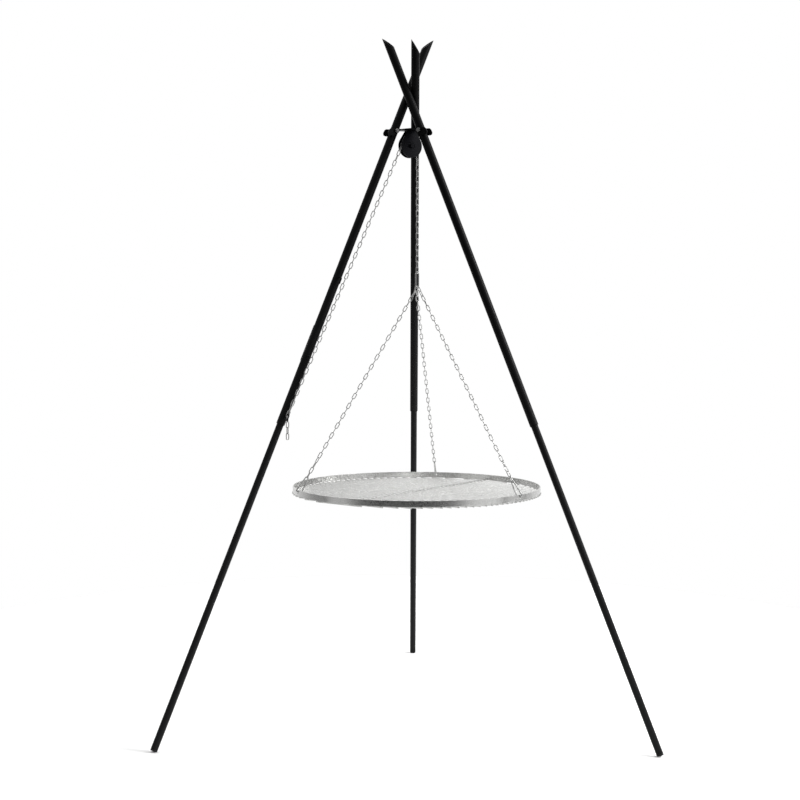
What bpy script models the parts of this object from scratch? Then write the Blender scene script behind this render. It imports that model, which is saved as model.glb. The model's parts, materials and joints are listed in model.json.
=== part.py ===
"""Tripod swing grill: three folding legs meet at a folded steel hub, and a round grate hangs from a
pulley by a chain whose free end is hooked to one leg. Metres and degrees, +Z up."""

import math

import bmesh
import bpy
from mathutils import Matrix, Vector

# Clearances
GAP = 0.0003  # left between pieces that rest on each other
FIT = 0.0003  # radial clearance of a bolt in its hole

# Tripod stance
TRIPOD_HEIGHT = 1.805
PIVOT_HEIGHT = 1.558
PIVOT_RADIUS = 0.0415  # from the tripod's axis to a leg's bolt
FOOT_CIRCLE = 0.719
LEGS = {"left": 210.0, "right": 330.0, "rear": 90.0}  # azimuth of each foot
TIP_DROP = {"left": 0.0, "right": 0.0, "rear": 0.017}
TIP_TURN = {"left": 180.0, "right": 180.0, "rear": 90.0}  # side of each tube that the point is on

# Leg tubes
UPPER_DIAMETER = 0.022
LOWER_DIAMETER = 0.018
TUBE_WALL = 0.0012
SOCKET_CLEARANCE = 0.0005
STEP_HEIGHT = 0.797  # where the lower tube leaves the upper one
SOCKET_DEPTH = 0.100
CRIMP_LENGTH = 0.006
CRIMP_DEPTH = 0.0022
TIP_BEVEL = 31.0  # between the cut and the tube's axis
TUBE_SIDES = 16

# Foot plugs
PLUG_FLANGE = 0.004
PLUG_STEM = 0.018
FOOT_FLAT = 0.001  # depth of the level flat that the plug stands on

# Hub
HUB_THICKNESS = 0.003
FOLD_EDGE = 0.0003  # the plate stands out this far round each folded ear
BOLT_DROP = 0.006  # from the hub's top face to the leg bolts
EAR_CLEARANCE = 0.0005
EAR_REACH = 0.025  # past the bolt, outwards
EAR_BACK = 0.010  # behind the bolt, inwards
EAR_DEPTH = 0.013  # below the bolt

# Bolts and nuts
LEG_BOLT_DIAMETER = 0.006
AXLE_DIAMETER = 0.006
HANGER_DIAMETER = 0.006
HEX_ACROSS = 1.7  # across the flats, in bolt diameters
HEAD_HEIGHT = 0.65
NUT_HEIGHT = 0.8
THREAD_OVER = 0.0015
HANGER_HEAD = 0.0025

# Pulley
WHEEL_DROP = 0.0434  # from the hub's top face to the wheel's centre
CHEEK_RADIUS = 0.031
CHEEK_THICKNESS = 0.002
CHEEK_SPACE = 0.013
NECK_WIDTH = 0.022
BRIDGE_THICKNESS = 0.003
WHEEL_RADIUS = 0.028
WHEEL_WIDTH = 0.0124
WHEEL_LIP = 0.0011
WHEEL_SEGMENTS = 24

# Chain
CHAIN_PITCH = 0.015
CHAIN_WIRE = 0.0024
CHAIN_WIDTH = 0.0092
CROWN_WIDTH = 0.0040  # flat stretch at each end of a link
WIRE_SIDES = 3
WELD_OVERLAP = 0.0002  # links of one stretch bite into each other this far
WHEEL_CHAIN_RADIUS = 0.0227
TAIL_LINKS = 4

# Chain hooks on the left leg
HOOK_HEIGHTS = {"low": 0.824, "mid": 0.970, "high": 1.172}
HOOK_SIDE = {"low": -0.002, "mid": 0.002, "high": 0.0}
HOOK_ROD = 0.0036
HOOK_REACH = 0.0145  # from the tube to the prong's centre line
HOOK_BEND = 0.005
HOOK_PRONG = 0.018
CHAIN_STAND_OFF = 0.0065  # from the tube to the chain's centre line at the hook
STRIP_TOP = 1.047
STRIP_LENGTH = 0.098
STRIP_WIDTH = 0.014
STRIP_THICKNESS = 0.003

# Grate
GRATE_HEIGHT = 0.6205  # top edge of the rim
GRATE_RADIUS = 0.3313
GRATE_TURN = -37.5
RIM_HEIGHT = 0.016
RIM_THICKNESS = 0.003
RIM_SEGMENTS = 60
ROD_DIAMETER = 0.004
ROD_PITCH = 0.017
ROD_OVERHANG = 0.0012
ROD_SIDES = 6
CROSS_ROD_DIAMETER = 0.006
ROD_BITE = 0.0006  # how far the cross rod is welded into the rods

# Slings
GATHER_HEIGHT = 1.146  # bottom of the link that gathers the slings
GATHER_WIRE = 0.0032
GATHER_WIDTH = 0.0184
GATHER_LEAST_LENGTH = 0.037
GATHER_ARC = 40.0  # between the slings' seats in the gathering link
SLINGS = {"front": 0, "rear": 117.5, "left": 238.5}  # azimuth of each in the grate's own frame
RIM_HOLE = 0.007
RIM_HOLE_DROP = 0.0065
RIM_LINK_WIRE = 0.003
RIM_LINK_FOOT = 0.015
RIM_LINK_APEX = 0.0064
RIM_LINK_LEAST = 0.045

# Worked out from the sizes above
LEAN = math.atan((FOOT_CIRCLE - PIVOT_RADIUS) / PIVOT_HEIGHT)
LEG_OFFSET = (UPPER_DIAMETER + GAP) * math.sqrt(3 + 0.75 * math.tan(LEAN) ** 2) / 3
HUB_TOP = PIVOT_HEIGHT + BOLT_DROP
WHEEL_HEIGHT = HUB_TOP - WHEEL_DROP
WIRE_REACH = 0.625 * CHAIN_WIRE  # corner of the three-sided wire, from its centre line
WIRE_FACE = WIRE_REACH * math.cos(math.pi / WIRE_SIDES)
FUSED = 2 * WIRE_FACE - WELD_OVERLAP  # between the crowns of two links of one stretch
LOOSE = 2 * WIRE_FACE + GAP  # between the crowns of two links that move
FREE = 2 * WIRE_REACH + GAP  # between the crowns of two links that swing about each other
LINK_HALF = (CHAIN_PITCH + FUSED) / 2
ORIGIN = Vector((0, 0, 0))


def clear_scene():
    for obj in list(bpy.data.objects):
        bpy.data.objects.remove(obj, do_unlink=True)


def paint(name, colour, roughness, metallic):
    material = bpy.data.materials.new(name)
    material.use_nodes = True
    shader = material.node_tree.nodes["Principled BSDF"]
    shader.inputs["Base Color"].default_value = (*colour, 1)
    shader.inputs["Roughness"].default_value = roughness
    shader.inputs["Metallic"].default_value = metallic
    material.diffuse_color = (*colour, 1)
    return material


def radial(azimuth):
    angle = math.radians(azimuth)
    return Vector((math.cos(angle), math.sin(angle), 0))


def clockwise(azimuth):
    """Horizontal, square to radial, clockwise seen from above."""
    angle = math.radians(azimuth)
    return Vector((math.sin(angle), -math.cos(angle), 0))


def frame(origin, x_axis, z_axis):
    """A placement with these two axes, which are square to each other."""
    x_axis, z_axis = x_axis.normalized(), z_axis.normalized()
    y_axis = z_axis.cross(x_axis)
    matrix = Matrix((x_axis, y_axis, z_axis)).transposed().to_4x4()
    matrix.translation = origin
    return matrix


def empty(name, matrix, parent=None):
    obj = bpy.data.objects.new(name, None)
    obj.empty_display_size = 0.03
    bpy.context.scene.collection.objects.link(obj)
    obj.parent = parent
    obj.matrix_world = matrix
    bpy.context.view_layer.update()
    return obj


def add(name, shape, material, parent, matrix=None, smooth=30.0):
    """A named piece from a bmesh. Its points are in the parent's frame, or in matrix where that is given."""
    mesh = bpy.data.meshes.new(name)
    bmesh.ops.recalc_face_normals(shape, faces=shape.faces)
    shape.to_mesh(mesh)
    shape.free()
    mesh.materials.append(material)
    mesh.shade_smooth()
    mesh.set_sharp_from_angle(angle=math.radians(smooth))
    obj = bpy.data.objects.new(name, mesh)
    bpy.context.scene.collection.objects.link(obj)
    obj.parent = parent
    obj.matrix_world = matrix if matrix is not None else parent.matrix_world
    bpy.context.view_layer.update()
    return obj


def boolean(obj, other_shape, operation, matrix=None):
    """Cuts or joins a shape, given in the object's frame, and keeps the result as the object's own mesh."""
    placed = obj.matrix_world if matrix is None else matrix
    other = add(obj.name + "_tool", other_shape, obj.data.materials[0], None, placed)
    modifier = obj.modifiers.new(operation.lower(), "BOOLEAN")
    modifier.operation = operation
    modifier.object = other
    bpy.context.view_layer.update()
    graph = bpy.context.evaluated_depsgraph_get()
    result = bpy.data.meshes.new_from_object(obj.evaluated_get(graph))
    obj.modifiers.clear()
    obj.data = result
    result.name = obj.name
    bpy.data.objects.remove(other, do_unlink=True)


def merge(target, shape, matrix=None):
    """Adds the second bmesh's shape to the first one, as it stands."""
    mesh = bpy.data.meshes.new("merged")
    if matrix is not None:
        bmesh.ops.transform(shape, matrix=matrix, verts=shape.verts)
    shape.to_mesh(mesh)
    shape.free()
    target.from_mesh(mesh)
    bpy.data.meshes.remove(mesh)


def turned(profile, segments):
    """A ring turned about Z from a closed outline of (radius, height) points, none of them on the axis."""
    shape = bmesh.new()
    rings = []
    for i in range(segments):
        angle = 2 * math.pi * i / segments
        rings.append([shape.verts.new((r * math.cos(angle), r * math.sin(angle), z)) for r, z in profile])
    for i, ring in enumerate(rings):
        after = rings[(i + 1) % segments]
        for j in range(len(profile)):
            k = (j + 1) % len(profile)
            shape.faces.new((ring[j], after[j], after[k], ring[k]))
    return shape


def stacked(sections, segments):
    """A solid of revolution about Z from (radius, height) sections, closed by flat ends."""
    shape = bmesh.new()
    rings = []
    for r, z in sections:
        ring = []
        for i in range(segments):
            angle = 2 * math.pi * (i + 0.5) / segments
            ring.append(shape.verts.new((r * math.cos(angle), r * math.sin(angle), z)))
        rings.append(ring)
    for low, high in zip(rings, rings[1:]):
        for i in range(segments):
            j = (i + 1) % segments
            shape.faces.new((low[i], low[j], high[j], high[i]))
    shape.faces.new(rings[0][::-1])
    shape.faces.new(rings[-1])
    return shape


def block(low, high):
    shape = bmesh.new()
    bmesh.ops.create_cube(shape, size=1)
    size = [b - a for a, b in zip(low, high)]
    centre = [(a + b) / 2 for a, b in zip(low, high)]
    bmesh.ops.scale(shape, vec=size, verts=shape.verts)
    bmesh.ops.translate(shape, vec=centre, verts=shape.verts)
    return shape


def plate(outline, thickness):
    """An outline of (x, y) points raised from half the thickness below Z = 0 to half above it."""
    shape = bmesh.new()
    face = shape.faces.new([shape.verts.new((x, y, -thickness / 2)) for x, y in outline])
    raised = bmesh.ops.extrude_face_region(shape, geom=[face])["geom"]
    moved = [item for item in raised if isinstance(item, bmesh.types.BMVert)]
    bmesh.ops.translate(shape, vec=(0, 0, thickness), verts=moved)
    return shape


def wire(points, normal, radius, sides, closed):
    """A round or polygonal wire along points that lie in one plane, with mitred corners. One of its flats
    faces the inside of a closed loop."""
    shape = bmesh.new()
    rings = []
    count = len(points)
    centre = sum(points, Vector()) / count
    for i, point in enumerate(points):
        before = points[i - 1] if closed or i else None
        after = points[(i + 1) % count] if closed or i + 1 < count else None
        arriving = (point - before).normalized() if before is not None else None
        leaving = (after - point).normalized() if after is not None else None
        arriving = leaving if arriving is None else arriving
        leaving = arriving if leaving is None else leaving
        across = (arriving + leaving).normalized().cross(normal).normalized()
        if closed and across.dot(point - centre) < 0:
            across = -across
        across = across / max(0.2, abs(arriving.cross(normal).normalized().dot(across)))
        ring = []
        for j in range(sides):
            angle = 2 * math.pi * j / sides
            ring.append(shape.verts.new(point + radius * (math.cos(angle) * across + math.sin(angle) * normal)))
        rings.append(ring)
    pairs = list(zip(rings, rings[1:])) + ([(rings[-1], rings[0])] if closed else [])
    for near, far in pairs:
        for j in range(sides):
            k = (j + 1) % sides
            shape.faces.new((near[j], near[k], far[k], far[j]))
    if not closed:
        shape.faces.new(rings[0][::-1])
        shape.faces.new(rings[-1])
    return shape


def bent_wire(points, normal, bend, steps):
    """The corner points of a polyline, each corner rounded to the bend's radius."""
    rounded = [points[0]]
    for before, corner, after in zip(points, points[1:], points[2:]):
        back, ahead = (before - corner).normalized(), (after - corner).normalized()
        turn = math.pi - back.angle(ahead)
        reach = bend * math.tan(turn / 2)
        centre = corner + (back + ahead).normalized() * bend / math.cos(turn / 2)
        start = corner + back * reach - centre
        sense = 1 if back.cross(ahead).dot(normal) < 0 else -1
        for i in range(steps + 1):
            rounded.append(centre + Matrix.Rotation(sense * turn * i / steps, 3, normal) @ start)
    return rounded + [points[-1]]


def link_loop(centre, along, width_axis):
    """One chain link, an oval with flat crowns."""
    side = (CHAIN_WIDTH - CHAIN_WIRE) / 2
    corners = ((CROWN_WIDTH / 2, 1), (side, 0), (CROWN_WIDTH / 2, -1))
    right = [centre + x * width_axis + y * LINK_HALF * along for x, y in corners]
    left = [centre - x * width_axis + y * LINK_HALF * along for x, y in reversed(corners)]
    return wire(right + left, along.cross(width_axis).normalized(), WIRE_REACH, WIRE_SIDES, True)


def chain(name, links, material, parent):
    """One stretch of chain from (centre, along, width axis) of each link. Every second link is one
    Boolean operand, so that neither operand meets itself."""
    halves = [bmesh.new(), bmesh.new()]
    for i, link in enumerate(links):
        merge(halves[i % 2], link_loop(*link))
    world = Matrix.Identity(4)
    obj = add(name, halves[0], material, parent, world, smooth=60.0)
    if len(links) > 1:
        boolean(obj, halves[1], "UNION")
    else:
        halves[1].free()
    to_pivot = parent.matrix_world.inverted()
    obj.data.transform(to_pivot)
    obj.matrix_world = parent.matrix_world
    bpy.context.view_layer.update()
    return obj


def half_span(loose):
    """From a link's centre to where it bears on its neighbour."""
    return LINK_HALF - (LOOSE if loose else FUSED) / 2


def leg_frame(name):
    """Origin on the leg's bolt, Z up along the leg, X away from the tripod's axis, Y anticlockwise."""
    out = radial(LEGS[name])
    up = Vector((0, 0, 1))
    origin = PIVOT_RADIUS * out + LEG_OFFSET * clockwise(LEGS[name]) + PIVOT_HEIGHT * up
    return frame(origin, math.cos(LEAN) * out + math.sin(LEAN) * up, math.cos(LEAN) * up - math.sin(LEAN) * out)


def along_leg(height):
    """A height above the ground as a distance along the leg, from the bolt."""
    return (height - PIVOT_HEIGHT) / math.cos(LEAN)


def hexagon(diameter):
    return HEX_ACROSS * diameter / 2 / math.cos(math.pi / 6)


def bolt_along_y(diameter, head_at, end_at):
    """A hexagon bolt on the Y axis. Its head bears at head_at and its shank ends at end_at."""
    sense = 1 if end_at > head_at else -1
    shape = stacked([(diameter / 2, head_at - 0.5 * sense * diameter * HEAD_HEIGHT), (diameter / 2, end_at)], 12)
    head = stacked([(hexagon(diameter), head_at - sense * diameter * HEAD_HEIGHT), (hexagon(diameter), head_at)], 6)
    return shape, head


def add_bolt(name, diameter, head_at, end_at, material, parent, matrix):
    """The bolt's shank and head made one solid, turned from Z to the matrix's own Z."""
    shank, head = bolt_along_y(diameter, head_at, end_at)
    obj = add(name, shank, material, parent, matrix)
    boolean(obj, head, "UNION")
    return obj


def add_nut(name, diameter, near, far, material, parent, matrix):
    bore = diameter / 2 + FIT
    obj = add(name, stacked([(hexagon(diameter), near), (hexagon(diameter), far)], 6), material, parent, matrix)
    boolean(obj, stacked([(bore, near - diameter), (bore, far + diameter)], 12), "DIFFERENCE")
    return obj


def add_leg(name, materials, hub):
    """One leg: the upper tube on its bolt, the lower tube in its socket and the plug that it stands on."""
    pivot = empty("fold_" + name, leg_frame(name), hub)
    upper, lower = UPPER_DIAMETER / 2, LOWER_DIAMETER / 2
    bore = lower + SOCKET_CLEARANCE
    bottom, crimp = along_leg(STEP_HEIGHT), along_leg(STEP_HEIGHT) + SOCKET_DEPTH
    top = (TRIPOD_HEIGHT - PIVOT_HEIGHT - TIP_DROP[name]) / math.cos(LEAN)
    if TIP_TURN[name] == 180.0:
        top += upper * math.tan(LEAN)
    neck = bore - CRIMP_DEPTH
    outline = [
        (upper, bottom),
        (upper, top),
        (bore, top),
        (bore, crimp + CRIMP_LENGTH),
        (neck, crimp + 0.75 * CRIMP_LENGTH),
        (neck, crimp + 0.25 * CRIMP_LENGTH),
        (bore, crimp),
        (bore, bottom),
    ]
    tube = add("upper_leg_" + name, turned(outline, TUBE_SIDES), materials["paint"], pivot)
    hole = LEG_BOLT_DIAMETER / 2 + FIT
    across = Matrix.Rotation(math.radians(90), 4, "X")
    drill = stacked([(hole, -UPPER_DIAMETER), (hole, UPPER_DIAMETER)], 12)
    bmesh.ops.transform(drill, matrix=across, verts=drill.verts)
    boolean(tube, drill, "DIFFERENCE")
    saw = block((-1, -1, 0), (1, 1, 1))
    tilt = Matrix.Rotation(math.radians(90 - TIP_BEVEL), 4, "Y")
    turn = Matrix.Rotation(math.radians(TIP_TURN[name]), 4, "Z")
    point = turn @ Vector((upper, 0, 0)) + Vector((0, 0, top))
    bmesh.ops.transform(saw, matrix=Matrix.Translation(point) @ turn @ tilt.inverted(), verts=saw.verts)
    boolean(tube, saw, "DIFFERENCE")

    end = (lower * math.sin(LEAN) - FOOT_FLAT - PIVOT_HEIGHT) / math.cos(LEAN)
    socket = empty("draw_" + name, pivot.matrix_world @ Matrix.Translation((0, 0, bottom)), pivot)
    down = pivot.matrix_world
    tube_end = end + PLUG_FLANGE + GAP
    inner = lower - TUBE_WALL
    outline = [(lower, tube_end), (lower, crimp - GAP), (inner, crimp - GAP), (inner, tube_end)]
    lower_tube = add("lower_leg_" + name, turned(outline, TUBE_SIDES), materials["paint"], socket, down)
    stem = inner - GAP
    sections = [
        (lower - 0.0008, end),
        (lower, end + 0.0008),
        (lower, end + PLUG_FLANGE),
        (stem, end + PLUG_FLANGE),
        (stem, end + PLUG_STEM),
    ]
    plug = stacked(sections, TUBE_SIDES)
    level = Vector((math.sin(LEAN), 0, math.cos(LEAN)))
    ground = -PIVOT_HEIGHT * level
    cut = bmesh.ops.bisect_plane(
        plug,
        geom=plug.verts[:] + plug.edges[:] + plug.faces[:],
        plane_co=ground,
        plane_no=level,
        clear_inner=True,
    )
    rim = [item for item in cut["geom_cut"] if isinstance(item, bmesh.types.BMEdge)]
    bmesh.ops.edgeloop_fill(plug, edges=rim)
    add("foot_plug_" + name, plug, materials["plastic"], socket, down)
    for obj in (lower_tube, bpy.data.objects["foot_plug_" + name]):
        local = socket.matrix_world.inverted() @ down
        obj.data.transform(local)
        obj.matrix_world = socket.matrix_world
    bpy.context.view_layer.update()
    return pivot


def add_hub(materials, hub):
    """A plate with three forks folded down from it. The leg tubes stand between the forks' ears."""
    half = UPPER_DIAMETER / 2 + EAR_CLEARANCE
    slot = PIVOT_RADIUS - BOLT_DROP * math.tan(LEAN) - UPPER_DIAMETER / 2 / math.cos(LEAN) - EAR_CLEARANCE
    width = half + HUB_THICKNESS
    outline = []
    for azimuth in LEGS.values():
        for offset in (LEG_OFFSET + width + FOLD_EDGE, LEG_OFFSET - width - FOLD_EDGE):
            outline.append(slot * radial(azimuth) + offset * clockwise(azimuth))
    outline.sort(key=lambda point: math.atan2(point.y, point.x))
    level = HUB_TOP - HUB_THICKNESS / 2
    obj = add("hub_plate", plate([point.xy for point in outline], HUB_THICKNESS), materials["paint"], hub)
    obj.data.transform(Matrix.Translation((0, 0, level)))
    depth = BOLT_DROP + EAR_DEPTH
    inner, outer = PIVOT_RADIUS - EAR_BACK, PIVOT_RADIUS + EAR_REACH
    fold = slot - 0.012
    ear = [
        (fold, -FOLD_EDGE),
        (outer - 0.008, -FOLD_EDGE),
        (outer - 0.0035, -0.004),
        (outer, -0.6 * depth),
        (outer - 0.001, -0.88 * depth),
        (outer - 0.006, -depth),
        (PIVOT_RADIUS + 0.006, -depth),
        (inner + 0.003, -0.5 * depth),
        (inner, FOLD_EDGE - HUB_THICKNESS),
        (fold, FOLD_EDGE - HUB_THICKNESS),
    ]
    for azimuth in LEGS.values():
        out, side = radial(azimuth), clockwise(azimuth)
        centre = LEG_OFFSET * side
        for sense in (-1, 1):
            middle = centre + sense * (half + HUB_THICKNESS / 2) * side + Vector((0, 0, HUB_TOP))
            upright = frame(middle, out, out.cross(Vector((0, 0, 1))))
            boolean(obj, plate(ear, HUB_THICKNESS), "UNION", upright)
        pivot = Matrix.Translation(PIVOT_RADIUS * out + centre + Vector((0, 0, PIVOT_HEIGHT)))
        hole = LEG_BOLT_DIAMETER / 2 + FIT
        drill = stacked([(hole, -0.03), (hole, 0.03)], 12)
        boolean(obj, drill, "DIFFERENCE", pivot @ frame(ORIGIN, out, side))
    hole = HANGER_DIAMETER / 2 + FIT
    boolean(obj, stacked([(hole, HUB_TOP - 0.01), (hole, HUB_TOP + 0.01)], 16), "DIFFERENCE")
    return obj


def add_leg_bolts(materials, hub):
    bearing = UPPER_DIAMETER / 2 + EAR_CLEARANCE + HUB_THICKNESS + GAP
    nut = LEG_BOLT_DIAMETER * NUT_HEIGHT
    for name, azimuth in LEGS.items():
        placed = frame(leg_frame(name).translation, radial(azimuth), clockwise(azimuth))
        add_bolt(
            "leg_bolt_" + name,
            LEG_BOLT_DIAMETER,
            bearing,
            -bearing - nut - THREAD_OVER,
            materials["zinc"],
            hub,
            placed,
        )
        add_nut("leg_nut_" + name, LEG_BOLT_DIAMETER, -bearing - nut, -bearing, materials["zinc"], hub, placed)


def pulley_frame():
    """Origin at the wheel's centre, X towards the left leg, Z across the wheel, along its axle."""
    out = radial(LEGS["left"])
    return frame(Vector((0, 0, WHEEL_HEIGHT)), out, clockwise(LEGS["left"]))


def cheek_outline():
    """A disc round the axle with straight flanks up to the neck. Y is down in the pulley's frame."""
    neck = NECK_WIDTH / 2
    top = -(WHEEL_DROP - HUB_THICKNESS - GAP)
    away = math.hypot(neck, top)
    touch = math.atan2(top, neck) + math.acos(CHEEK_RADIUS / away)
    steps = 18
    points = []
    for i in range(steps + 1):
        angle = touch + (math.pi - 2 * touch) * i / steps
        points.append((CHEEK_RADIUS * math.cos(angle), CHEEK_RADIUS * math.sin(angle)))
    return [(neck, top)] + points + [(-neck, top)]


def add_pulley(materials, hub):
    placed = pulley_frame()
    down = 1 if (placed.to_3x3() @ Vector((0, 1, 0))).z < 0 else -1
    outline = [(x, down * y) for x, y in cheek_outline()]
    top = WHEEL_DROP - HUB_THICKNESS - GAP
    reach = CHEEK_SPACE / 2 + CHEEK_THICKNESS
    bridge = [(-NECK_WIDTH / 2, -down * top), (NECK_WIDTH / 2, -down * top)]
    bridge += [(NECK_WIDTH / 2, -down * (top - BRIDGE_THICKNESS)), (-NECK_WIDTH / 2, -down * (top - BRIDGE_THICKNESS))]
    obj = add("pulley_frame", plate(bridge, 2 * reach), materials["paint"], hub, placed)
    for sense in (-1, 1):
        shift = Matrix.Translation((0, 0, sense * (CHEEK_SPACE + CHEEK_THICKNESS) / 2))
        boolean(obj, plate(outline, CHEEK_THICKNESS), "UNION", placed @ shift)
    hole = AXLE_DIAMETER / 2 + FIT
    boolean(obj, stacked([(hole, -0.03), (hole, 0.03)], 12), "DIFFERENCE", placed)
    hole = HANGER_DIAMETER / 2 + FIT
    drill = stacked([(hole, HUB_TOP - 0.015), (hole, HUB_TOP + 0.01)], 16)
    boolean(obj, drill, "DIFFERENCE", Matrix.Identity(4))

    spin = empty("wheel_spin", placed, hub)
    half = WHEEL_WIDTH / 2
    shoulder = WHEEL_CHAIN_RADIUS * math.cos(math.asin(CHAIN_PITCH / 2 / WHEEL_CHAIN_RADIUS))
    seat = shoulder - WIRE_REACH - GAP
    bed = shoulder - CHAIN_WIDTH / 2 - GAP - 0.0006
    slot = WIRE_REACH + GAP
    bore = AXLE_DIAMETER / 2 + FIT
    profile = [
        (bore, -half),
        (WHEEL_RADIUS, -half),
        (WHEEL_RADIUS, WHEEL_LIP - half),
        (seat, WHEEL_LIP - half),
        (bed, -slot),
        (bed, slot),
        (seat, half - WHEEL_LIP),
        (WHEEL_RADIUS, half - WHEEL_LIP),
        (WHEEL_RADIUS, half),
        (bore, half),
    ]
    add("pulley_wheel", turned(profile, WHEEL_SEGMENTS), materials["wheel"], spin)
    bearing = reach + GAP
    nut = AXLE_DIAMETER * NUT_HEIGHT
    add_bolt("pulley_axle", AXLE_DIAMETER, -bearing, bearing + nut + THREAD_OVER, materials["zinc"], hub, placed)
    add_nut("pulley_axle_nut", AXLE_DIAMETER, bearing, bearing + nut, materials["zinc"], hub, placed)

    head = HUB_TOP + GAP
    under = HUB_TOP - HUB_THICKNESS - BRIDGE_THICKNESS - 2 * GAP
    nut = HANGER_DIAMETER * NUT_HEIGHT
    sections = [(0.0062, head), (0.0058, head + 0.5 * HANGER_HEAD), (0.0035, head + HANGER_HEAD)]
    dome = stacked(sections, 24)
    obj = add("hanger_bolt", dome, materials["paint"], hub)
    shank = HANGER_DIAMETER / 2
    pin = stacked([(shank, under - nut - THREAD_OVER / 2), (shank, head + 0.5 * HANGER_HEAD)], 16)
    boolean(obj, pin, "UNION")
    add_nut("hanger_nut", HANGER_DIAMETER, under - nut, under, materials["zinc"], hub, hub.matrix_world)
    return spin


def hook_point(name):
    """Where a chain link bears on a hook's rod, in the leg's frame."""
    return Vector((HOOK_SIDE[name], UPPER_DIAMETER / 2 + CHAIN_STAND_OFF, along_leg(HOOK_HEIGHTS[name])))


def add_hooks(materials, pivot):
    """Rods that leave the left leg's tube, turn down along it and end in a free prong."""
    surface = UPPER_DIAMETER / 2 + GAP
    reach = UPPER_DIAMETER / 2 + HOOK_REACH
    across = Vector((1, 0, 0))
    for name in HOOK_HEIGHTS:
        level = hook_point(name).z
        side = HOOK_SIDE[name]
        corners = [Vector((side, surface, level)), Vector((side, reach, level))]
        corners.append(Vector((side, reach, level - HOOK_PRONG)))
        path = bent_wire(corners, across, HOOK_BEND, 4)
        add("chain_hook_" + name, wire(path, across, HOOK_ROD / 2, 8, False), materials["paint"], pivot)
    top = along_leg(STRIP_TOP)
    low = (-STRIP_WIDTH / 2, -surface - STRIP_THICKNESS, top - STRIP_LENGTH)
    high = (STRIP_WIDTH / 2, -surface, top)
    add("leg_backing_strip", block(low, high), materials["paint"], pivot)


class Path:
    """The hauling chain's line: up from the hook to the wheel, over it and straight down."""

    def __init__(self):
        placed = pulley_frame()
        self.centre = placed.translation
        self.out = radial(LEGS["left"])
        self.up = Vector((0, 0, 1))
        hook = leg_frame("left") @ hook_point("low")
        offset = hook - self.centre
        p, q = offset.dot(self.out), offset.dot(self.up)
        self.start_angle = math.atan2(q, p) + math.acos(WHEEL_CHAIN_RADIUS / math.hypot(p, q))
        self.touch = self.on_wheel(self.start_angle)
        self.run = (hook - self.touch).normalized()
        below = LINK_HALF - LOOSE / 2 - self.hook_shift()
        self.start = hook + below * self.run
        self.run_length = (self.start - self.touch).length
        self.arc_length = WHEEL_CHAIN_RADIUS * (math.pi - self.start_angle)

    @staticmethod
    def hook_shift():
        """From the hooked link's centre down to the hook's rod, which bears on the tail's first crown."""
        return LINK_HALF - FREE - WIRE_REACH - GAP - HOOK_ROD / 2

    def on_wheel(self, angle):
        return self.centre + WHEEL_CHAIN_RADIUS * (math.cos(angle) * self.out + math.sin(angle) * self.up)

    def at(self, length):
        if length <= self.run_length:
            return self.start - length * self.run
        length -= self.run_length
        if length <= self.arc_length:
            return self.on_wheel(self.start_angle + length / WHEEL_CHAIN_RADIUS)
        return self.on_wheel(math.pi) - (length - self.arc_length) * self.up

    def step(self, length, span):
        """How far along the line the point lies that is span from the point at length."""
        low, high = length, length + 2 * span
        here = self.at(length)
        for _ in range(50):
            middle = (low + high) / 2
            if (self.at(middle) - here).length < span:
                low = middle
            else:
                high = middle
        return high


def haul_links(path):
    """The links from the hook over the wheel to the last one that the pulley holds, in three stretches:
    the run, the turn over the wheel, and the height at which the hanging chain starts."""
    across = clockwise(LEGS["left"])
    block_edge = WHEEL_HEIGHT - math.sqrt(CHEEK_RADIUS**2 - WHEEL_CHAIN_RADIUS**2)
    run, turn = [], []
    length, index, loose_start = 0.0, 0, True
    while True:
        on_run = length < path.run_length - CHAIN_PITCH
        last_of_run = on_run and length + CHAIN_PITCH >= path.run_length - CHAIN_PITCH
        last_of_turn = not on_run and index % 2 == 0 and path.at(length).z - CHAIN_PITCH < block_edge
        last_of_turn = last_of_turn and length > path.run_length + path.arc_length
        loose_end = last_of_run or last_of_turn
        first, second = half_span(loose_start), half_span(loose_end)
        after = path.step(length, first + second)
        here, there = path.at(length), path.at(after)
        along = (there - here).normalized()
        width_axis = across.cross(along).normalized() if index % 2 == 0 else across
        (run if on_run else turn).append((here + first * along, along, width_axis))
        if last_of_turn:
            return run, turn, there
        length, index, loose_start = after, index + 1, loose_end


def straight_links(start, along, count, first_width, twist=0.0):
    """Links of one free-hanging stretch. The first and last of them bear loosely on their neighbours."""
    links = []
    centre = start + half_span(True) * along
    for i in range(count):
        angle = math.radians(90) * (i % 2) + twist * i / max(1, count - 1)
        width_axis = Matrix.Rotation(angle, 3, along) @ first_width
        links.append((centre + i * CHAIN_PITCH * along, along, width_axis))
    return links


def stretch_length(count):
    return (count - 1) * CHAIN_PITCH + 2 * half_span(True)


def oval(centre, along, width_axis, half_length, half_width, steps):
    """A closed oval of points: two half circles joined by straight sides."""
    points = []
    for end in (1, -1):
        middle = centre + end * (half_length - half_width) * along
        for i in range(steps + 1):
            angle = math.pi * i / steps
            x, y = end * math.cos(angle), end * math.sin(angle)
            points.append(middle + half_width * (x * width_axis + y * along))
    return points


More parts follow.
